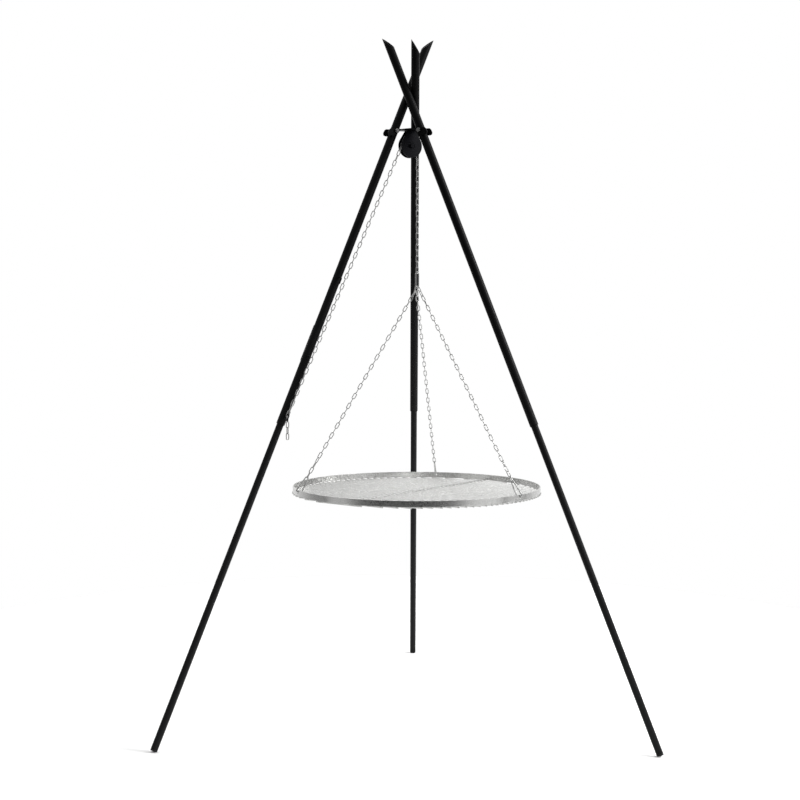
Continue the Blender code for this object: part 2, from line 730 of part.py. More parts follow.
def add_hanging(materials, hub, path):
    """The chains, the gathering link, the slings and the grate, each under the empty it swings on."""
    out, across, up = radial(LEGS["left"]), clockwise(LEGS["left"]), Vector((0, 0, 1))
    down = -up
    run, turn, exit_point = haul_links(path)
    haul_end = run[-1][0] + half_span(True) * run[-1][1]
    haul = empty("haul_swing", frame(haul_end, out, across), hub)
    chain("haul_chain", run, materials["chain"], haul)
    chain("wheel_chain", turn, materials["chain"], hub)
    held = path.start + LOOSE / 2 * path.run
    tail = empty("tail_swing", frame(held, out, across), haul)
    tail_start = held - FREE * path.run + LOOSE / 2 * down
    chain("chain_tail", straight_links(tail_start, down, TAIL_LINKS, across), materials["chain"], tail)

    side = empty("swing_side", frame(exit_point, out, across), hub)
    chain("swing_link", straight_links(exit_point, down, 1, across), materials["chain"], side)
    lift_top = exit_point + stretch_length(1) * down
    fore = empty("swing_fore", frame(lift_top, out, across), side)
    gather_radius = (GATHER_WIDTH - GATHER_WIRE) / 2
    loop_seat = WIRE_REACH + GATHER_WIRE / 2 + GAP
    room = lift_top.z - GATHER_HEIGHT - GATHER_WIRE / 2 - GATHER_LEAST_LENGTH
    count = math.floor((room + loop_seat - 2 * half_span(True)) / CHAIN_PITCH)
    lift = straight_links(lift_top, down, count, out)
    chain("lift_chain", lift, materials["chain"], fore)
    end_top = lift_top + stretch_length(count) * down
    end_link = straight_links(end_top, down, 1, across if count % 2 else out)
    gather_plane = out if count % 2 else across

    column = Vector((exit_point.x, exit_point.y, 0))
    gather_top = end_link[0][0].z - LINK_HALF + loop_seat
    gather_bottom = GATHER_HEIGHT + GATHER_WIRE / 2
    hoist = empty("hoist", Matrix.Translation(end_top), fore)
    chain("lift_end_link", end_link, materials["chain"], hoist)
    half_length = (gather_top - gather_bottom) / 2
    middle = column + (gather_bottom + half_length) * up
    lying = gather_plane
    facing = lying.cross(up).normalized()
    loop = oval(middle, up, lying, half_length, gather_radius, 6)
    shape = wire(loop, facing, GATHER_WIRE / 2, 6, True)
    spin = empty("grate_turn", Matrix.Translation(column + gather_top * up), hoist)
    add("gather_link", shape, materials["chain"], spin, Matrix.Identity(4))

    hole_radius = GRATE_RADIUS - RIM_THICKNESS / 2
    hole_level = GRATE_HEIGHT - RIM_HOLE_DROP
    rim_seat = WIRE_FACE + RIM_LINK_WIRE / 2 + GAP
    first_crown = -(WIRE_REACH + GATHER_WIRE / 2 + GAP)
    order = sorted(SLINGS, key=lambda name: radial(GRATE_TURN + SLINGS[name]).dot(lying))
    lines = []
    for place, name in enumerate(order):
        bearing = radial(GRATE_TURN + SLINGS[name])
        angle = math.radians((place - 1) * GATHER_ARC)
        seat = column + (gather_bottom + gather_radius) * up
        seat += gather_radius * (math.sin(angle) * lying - math.cos(angle) * up)
        tangent = math.cos(angle) * lying + math.sin(angle) * up
        hole = column + hole_radius * bearing + hole_level * up
        slope = math.atan2(seat.z - hole_level, hole_radius)
        lift_in_hole = RIM_HOLE / 2 - RIM_LINK_WIRE / 2 / math.sin(slope) - RIM_THICKNESS / 2 / math.tan(slope) - GAP
        lines.append((name, seat, hole + lift_in_hole * up, tangent))
    shortest = min((foot - seat).length for _, seat, foot, _ in lines)
    room = shortest - RIM_LINK_LEAST - first_crown + rim_seat - 2 * LINK_HALF
    count = math.floor(room / CHAIN_PITCH) + 1
    for name, seat, foot, tangent in lines:
        along = (foot - seat).normalized()
        start = seat + (first_crown + LINK_HALF - half_span(True)) * along
        first_width = along.cross(tangent).normalized()
        level = clockwise(GRATE_TURN + SLINGS[name])
        wanted = math.atan2(along.dot(first_width.cross(level)), first_width.dot(level))
        twist = wanted - math.radians(90) * ((count - 1) % 2)
        twist = (twist + math.pi / 2) % math.pi - math.pi / 2
        links = straight_links(start, along, count, first_width, twist)
        chain("sling_chain_" + name, links, materials["chain"], spin)
        apex = links[-1][0] + (LINK_HALF - rim_seat) * along
        in_plane = level.cross(along).normalized()
        corners = [
            apex + RIM_LINK_APEX / 2 * in_plane,
            foot + RIM_LINK_FOOT / 2 * in_plane - 0.004 * along,
            foot + (RIM_LINK_FOOT / 2 - 0.003) * in_plane,
            foot - (RIM_LINK_FOOT / 2 - 0.003) * in_plane,
            foot - RIM_LINK_FOOT / 2 * in_plane - 0.004 * along,
            apex - RIM_LINK_APEX / 2 * in_plane,
        ]
        shape = wire(corners, level, RIM_LINK_WIRE / 2, 6, True)
        add("rim_link_" + name, shape, materials["chain"], spin, Matrix.Identity(4))
    add_grate(materials, spin, column)


def add_grate(materials, spin, column):
    top = Matrix.Translation(column + Vector((0, 0, GRATE_HEIGHT)))
    placed = top @ Matrix.Rotation(math.radians(GRATE_TURN), 4, "Z")
    inner = GRATE_RADIUS - RIM_THICKNESS
    profile = [(inner, -RIM_HEIGHT), (GRATE_RADIUS, -RIM_HEIGHT), (GRATE_RADIUS, 0), (inner, 0)]
    rim = add("grate_rim", turned(profile, RIM_SEGMENTS), materials["steel"], spin, placed)
    for azimuth in SLINGS.values():
        drill = stacked([(RIM_HOLE / 2, inner - 0.01), (RIM_HOLE / 2, GRATE_RADIUS + 0.01)], 12)
        aimed = frame(Vector((0, 0, -RIM_HOLE_DROP)), Vector((0, 0, 1)), radial(azimuth))
        boolean(rim, drill, "DIFFERENCE", placed @ aimed)
    count = math.floor((GRATE_RADIUS - 1.5 * ROD_DIAMETER) / ROD_PITCH)
    level = -RIM_HEIGHT - GAP - ROD_DIAMETER / 2
    rods = bmesh.new()
    for i in range(-count, count + 1):
        offset = i * ROD_PITCH
        half = math.sqrt(GRATE_RADIUS**2 - offset**2) + ROD_OVERHANG
        ends = [Vector((-half, offset, level)), Vector((half, offset, level))]
        merge(rods, wire(ends, Vector((0, 0, 1)), ROD_DIAMETER / 2, ROD_SIDES, False))
    grid = add("grate_grid", rods, materials["steel"], spin, placed)
    over = level + ROD_DIAMETER / 2 + CROSS_ROD_DIAMETER / 2 - ROD_BITE
    reach = inner * math.cos(math.pi / RIM_SEGMENTS) - GAP
    ends = [Vector((0, -reach, over)), Vector((0, reach, over))]
    cross = wire(ends, Vector((0, 0, 1)), CROSS_ROD_DIAMETER / 2, 8, False)
    boolean(grid, cross, "UNION")


def stand_on_origin(hub):
    """Moves everything so that the bottom centre of its bounding box is the world's origin."""
    corners = [
        obj.matrix_world @ Vector(corner)
        for obj in bpy.data.objects
        if obj.type == "MESH"
        for corner in [vertex.co for vertex in obj.data.vertices]
    ]
    low = [min(point[i] for point in corners) for i in range(3)]
    high = [max(point[i] for point in corners) for i in range(3)]
    hub.location -= Vector(((low[0] + high[0]) / 2, (low[1] + high[1]) / 2, low[2]))
    bpy.context.view_layer.update()


def main():
    clear_scene()
    materials = {
        "paint": paint("black_paint", (0.012, 0.012, 0.013), 0.42, 0.0),
        "plastic": paint("black_plastic", (0.02, 0.02, 0.02), 0.6, 0.0),
        "zinc": paint("zinc", (0.62, 0.62, 0.60), 0.35, 1.0),
        "chain": paint("chain_zinc", (0.60, 0.60, 0.58), 0.32, 1.0),
        "steel": paint("stainless", (0.66, 0.66, 0.65), 0.28, 1.0),
        "wheel": paint("wheel_black", (0.018, 0.018, 0.022), 0.35, 0.0),
    }
    hub = empty("tripod_axis", Matrix.Identity(4))
    add_hub(materials, hub)
    add_leg_bolts(materials, hub)
    legs = {name: add_leg(name, materials, hub) for name in LEGS}
    add_hooks(materials, legs["left"])
    add_pulley(materials, hub)
    add_hanging(materials, hub, Path())
    stand_on_origin(hub)


main()
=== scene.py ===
"""Dresses the tripod swing grill: coated tubes, hub, pulley, welded chain and the hanging grate."""

import json
import math

import bmesh
import bpy
import numpy as np
from mathutils import Matrix, Vector

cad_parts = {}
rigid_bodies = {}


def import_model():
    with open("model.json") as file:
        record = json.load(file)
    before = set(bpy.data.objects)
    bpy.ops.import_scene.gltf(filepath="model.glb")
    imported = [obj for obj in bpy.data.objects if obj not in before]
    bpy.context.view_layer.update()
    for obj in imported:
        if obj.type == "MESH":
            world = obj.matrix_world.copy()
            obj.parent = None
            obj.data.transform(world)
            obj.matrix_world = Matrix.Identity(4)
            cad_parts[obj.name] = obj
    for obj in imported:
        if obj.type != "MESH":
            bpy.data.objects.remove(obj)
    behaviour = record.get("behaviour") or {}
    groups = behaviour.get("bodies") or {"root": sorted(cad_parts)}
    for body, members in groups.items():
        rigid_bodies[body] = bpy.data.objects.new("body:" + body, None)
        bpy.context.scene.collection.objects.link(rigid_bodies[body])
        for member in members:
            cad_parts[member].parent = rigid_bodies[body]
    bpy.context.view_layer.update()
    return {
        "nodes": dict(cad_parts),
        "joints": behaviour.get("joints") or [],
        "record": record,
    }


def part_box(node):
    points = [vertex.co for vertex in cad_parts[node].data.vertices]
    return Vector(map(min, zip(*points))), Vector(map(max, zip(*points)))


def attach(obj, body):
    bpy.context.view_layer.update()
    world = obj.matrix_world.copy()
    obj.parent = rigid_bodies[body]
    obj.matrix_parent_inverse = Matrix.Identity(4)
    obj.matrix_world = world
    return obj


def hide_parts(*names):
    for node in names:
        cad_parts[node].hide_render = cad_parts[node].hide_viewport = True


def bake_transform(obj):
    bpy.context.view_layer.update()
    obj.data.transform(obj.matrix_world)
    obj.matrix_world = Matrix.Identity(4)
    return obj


bl_info = {
    "name": "Tripod Swing Grill",
    "version": (1, 0, 0),
    "blender": (4, 5, 0),
    "location": "View3D > Sidebar > Swing Grill",
    "description": "Builds the visible tripod, pulley, chains and hanging grate",
    "category": "Object",
}

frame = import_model()
NODES = frame["nodes"]
JOINTS = {joint["name"]: joint for joint in frame["joints"]}
BODIES = frame["record"]["behaviour"]["bodies"]
BODY_OF = {node: body for body, members in BODIES.items() for node in members}
UP = Vector((0, 0, 1))
FRONT = Vector((0, -1, 0))
ROOM_WALLS = (  # degrees round to the right from the camera's side, and how bright the room is there
    (-180, 1.0),
    (-150, 1.0),
    (-134, 0.8),
    (-104, 0.28),
    (-86, 0.6),
    (-70, 0.75),
    (-57, 0.2),
    (-44, 0.07),
    (0, 0.05),
    (24, 0.08),
    (36, 0.3),
    (54, 0.95),
    (92, 0.95),
    (118, 0.5),
    (136, 1.0),
    (180, 1.0),
)
# Each look: a finish and a material slot
COAT = ("powder coat", "black_paint")
PULLEY = ("pulley black", "black_paint")
WHEEL = ("pulley black", "wheel_black")
PLUG = ("plug plastic", "black_plastic")
BOLT = ("bolt zinc", "zinc")
CHAIN = ("chain zinc", "chain_zinc")
BAND = ("rolled stainless", "stainless")
ROD = ("drawn stainless", "stainless")
LEGS = ("left", "right", "rear")
SLINGS = ("front", "rear", "left")


# ------------ settings


def a_length(name, description, default):
    """A length that the panel's settings show to a hundredth of a millimetre."""
    return bpy.props.FloatProperty(
        name=name, description=description, default=default, precision=5, unit="LENGTH"
    )


def an_angle(name, description, degrees):
    return bpy.props.FloatProperty(
        name=name, description=description, default=math.radians(degrees), subtype="ANGLE"
    )


def a_colour(name, description, default):
    return bpy.props.FloatVectorProperty(
        name=name, description=description, size=3, subtype="COLOR", default=default
    )


class SWING_TubeSettings(bpy.types.PropertyGroup):
    """Sizes of the leg tubes"""

    sides: bpy.props.IntProperty(name="Sides", description="Faces round each tube", default=56, min=12)
    wall: a_length("Wall", "Wall of the tubes", 0.0015)
    edge: a_length("Edge", "Rounding of each sawn edge", 0.0003)


class SWING_ChainSettings(bpy.types.PropertyGroup):
    """Sizes of the welded chain"""

    wire: a_length("Wire", "Thickness of a link's wire", 0.0023)
    width: a_length("Width", "Outer width of a link", 0.0092)
    half: a_length("Half length", "From a link's middle to the centre line of its crown", 0.0085)
    pitch: a_length("Pitch", "Between the middles of two links", 0.015)
    solid_end: a_length("Solid end", "From the middle of an end link to the end of its solid", 0.00965)
    wheel_radius: a_length("Wheel radius", "Centre line of the chain on the pulley wheel", 0.0227)


class SWING_GrateSettings(bpy.types.PropertyGroup):
    """Sizes of the hanging grate"""

    band: a_length("Band", "Thickness of the rim's band", 0.003)
    rod: a_length("Rod", "Thickness of a rod", 0.004)
    pitch: a_length("Rod pitch", "Between two rods", 0.017)
    cross_rod: a_length("Cross rod", "Thickness of the rod on the others", 0.006)
    turn: an_angle("Turn", "Direction of the rods", -37.5)
    hole: a_length("Hole", "Diameter of the holes in the band", 0.007)
    hole_drop: a_length("Hole drop", "From the band's top edge to its holes", 0.0065)
    seam: an_angle("Seam", "Direction of the band's weld", -33)


class SWING_FinishSettings(bpy.types.PropertyGroup):
    """Colours of the finishes"""

    coat: a_colour("Coat", "Powder coat of the steel", (0.0014, 0.0014, 0.0016))
    # the coat turns to this lighter colour towards the ground
    low_tone: a_colour("Dust", "Lighter tone of the coat towards the ground", (0.0085, 0.0085, 0.0088))
    wheel: a_colour("Wheel", "Pulley wheel", (0.002, 0.002, 0.003))
    plug: a_colour("Plug", "Foot plugs", (0.004, 0.004, 0.004))
    zinc: a_colour("Zinc", "Plating of chains and bolts", (0.48, 0.48, 0.475))
    stainless: a_colour("Stainless", "Rim and rods", (0.63, 0.63, 0.62))


class SWING_StudioSettings(bpy.types.PropertyGroup):
    """Camera and lights"""

    focal: bpy.props.FloatProperty(name="Focal length", description="Lens in mm", default=65.6215)
    place: bpy.props.FloatVectorProperty(
        name="Camera",
        description="Camera's place",
        size=3,
        subtype="TRANSLATION",
        default=(0.00386, -4.05194, 1.08011),
    )
    yaw: an_angle("Yaw", "Camera turned to the right", -0.3323)
    pitch: an_angle("Pitch", "Camera tilted up", -3.3985)
    roll: an_angle("Roll", "Camera rolled", 0.1264)


SETTINGS = {
    "swing_tubes": SWING_TubeSettings,
    "swing_chain": SWING_ChainSettings,
    "swing_grate": SWING_GrateSettings,
    "swing_finish": SWING_FinishSettings,
    "swing_studio": SWING_StudioSettings,
}


# ------------ shader groups


def shader_group(name, inputs, outputs):
    """A group with these numbers as its inputs, at their defaults, and numbers as its outputs. Gives the
    tree, the sockets that come in and the sockets that go out."""
    tree = bpy.data.node_groups.new(name, "ShaderNodeTree")
    for socket, default in inputs.items():
        made = tree.interface.new_socket(socket, in_out="INPUT", socket_type="NodeSocketFloat")
        made.default_value = default
    for socket in outputs:
        tree.interface.new_socket(socket, in_out="OUTPUT", socket_type="NodeSocketFloat")
    return tree, tree.nodes.new("NodeGroupInput").outputs, tree.nodes.new("NodeGroupOutput").inputs


def set_inputs(tree, made, inputs):
    """Sets a node's inputs to values, or links them to sockets."""
    for name, value in inputs.items():
        if isinstance(value, bpy.types.NodeSocket):
            tree.links.new(value, made.inputs[name])
        else:
            made.inputs[name].default_value = value


def node(tree, kind, inputs=None, **properties):
    """A node with its properties and inputs set."""
    made = tree.nodes.new(kind)
    for name, value in properties.items():
        setattr(made, name, value)
    set_inputs(tree, made, inputs or {})
    return made


def math_of(tree, operation, *values, **properties):
    """The result of a Math node on values and sockets."""
    inputs = dict(enumerate(values))
    return node(tree, "ShaderNodeMath", inputs, operation=operation, **properties).outputs[0]


def ranged(tree, value, **ends):
    """A value brought from one range to another. Each end is a number or a socket."""
    inputs = {name.replace("_", " "): end for name, end in ends.items()}
    return node(tree, "ShaderNodeMapRange", {"Value": value, **inputs}).outputs[0]


def own_place(tree):
    """The place in the piece's own coordinates."""
    return node(tree, "ShaderNodeTexCoord").outputs["Object"]


def object_noise(tree, scale, detail, roughness, place=None):
    """Noise in the piece's own coordinates, or at a place worked out from them."""
    place = own_place(tree) if place is None else place
    inputs = {"Vector": place, "Scale": scale, "Detail": detail, "Roughness": roughness}
    return node(tree, "ShaderNodeTexNoise", inputs).outputs["Fac"]


def orange_peel_group():
    """The fine dimpled skin of a powder coat, with faint rubbing."""
    defaults = {"Dimple Size": 0.0012, "Rub Size": 0.05, "Rub": 0.1}
    tree, given, out = shader_group("orange peel", defaults, ("Height", "Rubbed"))
    fine = math_of(tree, "DIVIDE", 1.0, given["Dimple Size"])
    coarse = math_of(tree, "DIVIDE", 1.0, given["Rub Size"])
    spread = ranged(tree, object_noise(tree, coarse, 5.0, 0.65), From_Min=0.35, From_Max=0.75)
    rubbed = math_of(tree, "MULTIPLY", spread, given["Rub"], use_clamp=True)
    tree.links.new(object_noise(tree, fine, 1.0, 0.4), out["Height"])
    tree.links.new(rubbed, out["Rubbed"])


def low_tone_group():
    """A share that grows from one height down to another, which makes a coat lighter towards the ground.
    """
    defaults = {"Top": 1.25, "Full": 0.5, "Dust": 1.0}
    tree, given, out = shader_group("low tone", defaults, ("Dusty",))
    height = node(tree, "ShaderNodeSeparateXYZ", {0: own_place(tree)}).outputs["Z"]
    low_share = ranged(tree, height, From_Min=given["Top"], From_Max=given["Full"], To_Max=given["Dust"])
    tree.links.new(low_share, out["Dusty"])


def drawn_metal_group():
    """Fine marks along a drawn or rolled bar: each axis has its own number of marks to the metre."""
    defaults = {"Across X": 900.0, "Across Y": 900.0, "Across Z": 900.0, "Cloud Size": 0.03}
    tree, given, out = shader_group("drawn marks", defaults, ("Marks", "Clouds"))
    scale = node(tree, "ShaderNodeCombineXYZ", {axis: given["Across " + axis] for axis in "XYZ"})
    inputs = {0: own_place(tree), 1: scale.outputs[0]}
    stretched = node(tree, "ShaderNodeVectorMath", inputs, operation="MULTIPLY").outputs[0]
    coarse = math_of(tree, "DIVIDE", 1.0, given["Cloud Size"])
    tree.links.new(object_noise(tree, 1.0, 3.0, 0.6, stretched), out["Marks"])
    tree.links.new(object_noise(tree, coarse, 4.0, 0.6), out["Clouds"])


def ring_marks_group():
    """Marks that run round a ring, from its centre in the part's frame."""
    defaults = {"Centre X": 0.0, "Centre Y": 0.0, "Round": 30.0, "Up": 1600.0}
    tree, given, out = shader_group("rolled ring marks", defaults, ("Marks", "Clouds"))
    centre = node(tree, "ShaderNodeCombineXYZ", {axis: given["Centre " + axis] for axis in "XY"})
    inputs = {0: own_place(tree), 1: centre.outputs[0]}
    local = node(tree, "ShaderNodeVectorMath", inputs, operation="SUBTRACT").outputs[0]
    parts = node(tree, "ShaderNodeSeparateXYZ", {0: local}).outputs
    angle = math_of(tree, "ARCTAN2", parts["Y"], parts["X"])
    along = math_of(tree, "MULTIPLY", angle, given["Round"])
    height = math_of(tree, "MULTIPLY", parts["Z"], given["Up"])
    flat = node(tree, "ShaderNodeCombineXYZ", {"X": along, "Y": height}).outputs[0]
    tree.links.new(object_noise(tree, 1.0, 4.0, 0.65, flat), out["Marks"])
    tree.links.new(object_noise(tree, 16.0, 4.0, 0.6), out["Clouds"])


def placed_group(tree, group, **values):
    """The outputs of a group that is put in a tree with these values."""
    made = tree.nodes.new("ShaderNodeGroup")
    made.node_tree = bpy.data.node_groups[group]
    set_inputs(tree, made, {name.replace("_", " "): value for name, value in values.items()})
    return made.outputs


def new_finish(name):
    material = bpy.data.materials.new(name)
    material.use_nodes = True
    return material.node_tree, material.node_tree.nodes["Principled BSDF"]


def tone_between(tree, factor, dark, light):
    """A colour between two, each a colour or a socket, that follows a factor."""
    inputs = {0: factor}
    for socket, tone in ((6, dark), (7, light)):
        inputs[socket] = tone if isinstance(tone, bpy.types.NodeSocket) else (*tone, 1)
    return node(tree, "ShaderNodeMix", inputs, data_type="RGBA").outputs[2]


def bump(tree, height, strength, distance):
    inputs = {"Height": height, "Strength": strength, "Distance": distance}
    return node(tree, "ShaderNodeBump", inputs).outputs["Normal"]


def coated_finish(name, colour, roughness, rub, gloss, low_tone):
    """A dark sprayed or baked coat. low_tone is its greatest share of a lighter tone towards the ground,
    and that tone's colour.
    """
    tree, shader = new_finish(name)
    share, low_tone_colour = low_tone
    skin = placed_group(tree, "orange peel", Dimple_Size=0.0011, Rub_Size=0.045, Rub=rub)
    # the coat is blended towards a lighter colour from 1.25 m down to 0.5 m above the ground
    low_share = placed_group(tree, "low tone", Dust=share)["Dusty"]
    lighter = tuple(2 * value + 0.002 for value in colour)
    clean = tone_between(tree, skin["Rubbed"], colour, lighter)
    inputs = {
        "Base Color": tone_between(tree, low_share, clean, low_tone_colour),
        "Roughness": ranged(tree, skin["Rubbed"], To_Min=roughness, To_Max=roughness + 0.14),
        "Normal": bump(tree, skin["Height"], 0.35, 0.00006),
        "Specular IOR Level": gloss,
    }
    set_inputs(tree, shader, inputs)


def metal_finish(name, colour, marks, shade, rough, depth):
    """Bare or plated metal. marks is a placed group's settings, shade the darkest share of the colour,
    rough the roughness where it is bright and where it is dark."""
    tree, shader = new_finish(name)
    group, values = marks
    pattern = placed_group(tree, group, **values)
    cloudy = math_of(tree, "MULTIPLY", pattern["Clouds"], 0.4)
    blend = math_of(tree, "MULTIPLY_ADD", pattern["Marks"], 0.6, cloudy)
    spread = ranged(tree, blend, From_Min=0.3, From_Max=0.7)
    dark = tuple(shade * value for value in colour)
    inputs = {
        "Base Color": tone_between(tree, spread, dark, colour),
        "Roughness": ranged(tree, spread, To_Min=rough[1], To_Max=rough[0]),
        "Normal": bump(tree, pattern["Marks"], 0.3, depth),
        "Metallic": 1.0,
    }
    set_inputs(tree, shader, inputs)


# ------------ mesh helpers

CREASE = 32.0  # degrees between two faces, from where their edge is sharp
ROUND_CREASE = 80.0  # the same for thin round pieces with few faces
SEWN = 2e-6  # points nearer than this become one
FLAT = 0.6  # degrees: faces that turn less than this become one


def finish_of(name):
    return bpy.data.materials[name]


def keep(name, mesh, look, body, stands_for=(), crease=CREASE, place=None):
    """Makes a mesh in the part's frame, or at a place in it, a finished piece that moves with a body."""
    finish, slot = look
    mesh.transform(place or Matrix())
    mesh.shade_smooth()
    mesh.set_sharp_from_angle(angle=math.radians(crease))
    mesh = modified_mesh(mesh, "WEIGHTED_NORMAL", keep_sharp=True)
    mesh.materials.clear()
    mesh.materials.append(finish_of(finish))
    piece = linked(name, mesh)
    if stands_for:
        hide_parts(*stands_for)
    if body:
        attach(piece, body)
    return piece


def stand_in(name, mesh, look, place=None, crease=CREASE):
    """Keeps a mesh as the visible piece of a node, on the node's own body."""
    keep(name + "_fine", mesh, look, BODY_OF[name], (name,), crease, place)


def mesh_of(shape, name):
    mesh = bpy.data.meshes.new(name)
    bmesh.ops.recalc_face_normals(shape, faces=shape.faces)
    shape.to_mesh(mesh)
    shape.free()
    return mesh


def linked(name, data):
    """A new object in the scene."""
    made = bpy.data.objects.new(name, data)
    bpy.context.scene.collection.objects.link(made)
    return made


def settled_mesh(temporary):
    """The mesh that a temporary object evaluates to. The object goes."""
    bpy.context.view_layer.update()
    graph = bpy.context.evaluated_depsgraph_get()
    result = bpy.data.meshes.new_from_object(temporary.evaluated_get(graph))
    temporary.modifiers.clear()
    bpy.data.objects.remove(temporary, do_unlink=True)
    return result


def modified_mesh(mesh, kind, **properties):
    """The mesh after one modifier."""
    temporary = linked("temporary", mesh)
    modifier = temporary.modifiers.new(kind, kind)
    for name, value in properties.items():
        setattr(modifier, name, value)
    return settled_mesh(temporary)


def rounded_edges(mesh, width, angle=CREASE):
    limit = {"limit_method": "ANGLE", "angle_limit": math.radians(angle)}
    return modified_mesh(mesh, "BEVEL", width=width, segments=2, **limit)


def boolean_mesh(mesh, other, operation):
    """The mesh joined with, or cut by, another one."""
    tool = linked("tool", other)
    result = modified_mesh(mesh, "BOOLEAN", operation=operation, object=tool)
    bpy.data.objects.remove(tool, do_unlink=True)
    return result


def softened(name, look, width):
    """A piece with the solid's own shape, its loose triangles sewn and its edges rounded."""
    shape = bmesh.new()
    shape.from_mesh(NODES[name].data)
    bmesh.ops.remove_doubles(shape, verts=shape.verts, dist=SEWN)
    bmesh.ops.dissolve_limit(shape, angle_limit=math.radians(FLAT), verts=shape.verts, edges=shape.edges)
    mesh = bpy.data.meshes.new(name)
    shape.to_mesh(mesh)
    shape.free()
    stand_in(name, rounded_edges(mesh, width), look)


def turned(profile, segments, closed=True):
    """A ring turned about Z from (radius, height) points."""
    shape = bmesh.new()
    rings = []
    for i in range(segments):
        angle = 2 * math.pi * i / segments
        x, y = math.cos(angle), math.sin(angle)
        rings.append([shape.verts.new((radius * x, radius * y, z)) for radius, z in profile])
    for i, ring in enumerate(rings):
        after = rings[(i + 1) % segments]
        for j in range(len(profile) if closed else len(profile) - 1):
            k = (j + 1) % len(profile)
            shape.faces.new((ring[j], after[j], after[k], ring[k]))
    if not closed:
        shape.faces.new([ring[0] for ring in rings])
        shape.faces.new([ring[-1] for ring in reversed(rings)])
    return shape


def raised(outline, low, high):
    """An outline of (x, y) points raised from one height to another."""
    shape = bmesh.new()
    face = shape.faces.new([shape.verts.new((x, y, low)) for x, y in outline])
    grown = bmesh.ops.extrude_face_region(shape, geom=[face])["geom"]
    moved = [item for item in grown if isinstance(item, bmesh.types.BMVert)]
    bmesh.ops.translate(shape, vec=(0, 0, high - low), verts=moved)
    return shape


def block(size, middle, name):
    shape = bmesh.new()
    bmesh.ops.create_cube(shape, size=1.0)
    bmesh.ops.scale(shape, vec=size, verts=shape.verts)
    bmesh.ops.translate(shape, vec=middle, verts=shape.verts)
    return mesh_of(shape, name)


def sliced(shape, point, normal, **cleared):
    """Cuts a shape by a plane and clears one side of it."""
    whole = shape.verts[:] + shape.edges[:] + shape.faces[:]
    return bmesh.ops.bisect_plane(shape, geom=whole, plane_co=point, plane_no=normal, **cleared)


def arc(centre, radius, start, end, steps):
    """Points on an arc in a plane, from one angle to another."""
    x, y = centre
    angles = [start + (end - start) * i / steps for i in range(steps + 1)]
    return [(x + radius * math.cos(angle), y + radius * math.sin(angle)) for angle in angles]


def axes_at(origin, x_axis, z_axis):
    """A placement with these two axes, which are square to each other."""
    x_axis, z_axis = x_axis.normalized(), z_axis.normalized()
    matrix = Matrix((x_axis, z_axis.cross(x_axis), z_axis)).transposed().to_4x4()
    matrix.translation = origin
    return matrix


def points_of(name):
    mesh = NODES[name].data
    flat = np.empty(3 * len(mesh.vertices), np.float32)
    mesh.vertices.foreach_get("co", flat)
    return flat.reshape(-1, 3).astype(float)


def points_in(name, matrix):
    """A node's points in a placement's own frame."""
    inverse = np.array(matrix.inverted())
    return points_of(name) @ inverse[:3, :3].T + inverse[:3, 3]


def reach(name, matrix):
    """How far a solid goes along a placement's Z, both ways, and its greatest radius about it."""
    x, y, z = points_in(name, matrix).T
    return z.min(), z.max(), np.hypot(x, y).max()


# ------------ geometry nodes


def geometry_tree(name, lengths):
    """A tree from a geometry to a geometry, with these lengths and a material as further inputs."""
    tree = bpy.data.node_groups.new(name, "GeometryNodeTree")
    for way in ("INPUT", "OUTPUT"):
        tree.interface.new_socket("Geometry", in_out=way, socket_type="NodeSocketGeometry")
    for length in lengths:
        tree.interface.new_socket(length, in_out="INPUT", socket_type="NodeSocketFloat")
    tree.interface.new_socket("Material", in_out="INPUT", socket_type="NodeSocketMaterial")
    return tree, tree.nodes.new("NodeGroupInput").outputs, tree.nodes.new("NodeGroupOutput").inputs


def grown_mesh(tree, mesh, look, lengths):
    """The mesh that a tree makes from another, with the tree's inputs set by name."""
    values = {**lengths, "Material": finish_of(look[0])}
    temporary = linked("temporary", mesh)
    modifier = temporary.modifiers.new("tree", "NODES")
    modifier.node_group = tree
    for item in tree.interface.items_tree:
        if item.item_type == "SOCKET" and item.in_out == "INPUT" and item.name in values:
            modifier[item.identifier] = values[item.name]
    temporary.update_tag()
    return settled_mesh(temporary)


def put_on_points(tree, given, out, instance, **placing):
    """Ends a tree: an instance on each point, made real, in the tree's material."""
    inputs = {"Points": given["Geometry"], "Instance": instance, **placing}
    placed = node(tree, "GeometryNodeInstanceOnPoints", inputs)
    real = node(tree, "GeometryNodeRealizeInstances", {0: placed.outputs[0]})
    inputs = {"Geometry": real.outputs[0], "Material": given["Material"]}
    tree.links.new(node(tree, "GeometryNodeSetMaterial", inputs).outputs[0], out[0])
    return tree


def chain_tree():
    """A welded oval link on each point, turned by the point's own angles."""
    tree, given, out = geometry_tree("welded chain", ("Wire", "Link Width", "Half Length"))
    width = math_of(tree, "SUBTRACT", given["Link Width"], given["Wire"])
    length = math_of(tree, "MULTIPLY", given["Half Length"], 2.0)
    corner = math_of(tree, "MULTIPLY", width, 0.4999)  # a hair less than half, so that the sides stay
    box = node(tree, "GeometryNodeCurvePrimitiveQuadrilateral", {"Width": width, "Height": length})
    inputs = {"Curve": box.outputs[0], "Radius": corner, "Count": 3}
    oval = node(tree, "GeometryNodeFilletCurve", inputs, mode="POLY")
    radius = math_of(tree, "MULTIPLY", given["Wire"], 0.5)
    wire = node(tree, "GeometryNodeCurvePrimitiveCircle", {"Resolution": 7, "Radius": radius})
    inputs = {"Curve": oval.outputs[0], "Profile Curve": wire.outputs[0]}
    link = node(tree, "GeometryNodeCurveToMesh", inputs)
    turn = node(tree, "GeometryNodeInputNamedAttribute", {"Name": "turn"}, data_type="FLOAT_VECTOR")
    rotation = node(tree, "FunctionNodeEulerToRotation", {0: turn.outputs[0]})
    return put_on_points(tree, given, out, link.outputs[0], Rotation=rotation.outputs[0])


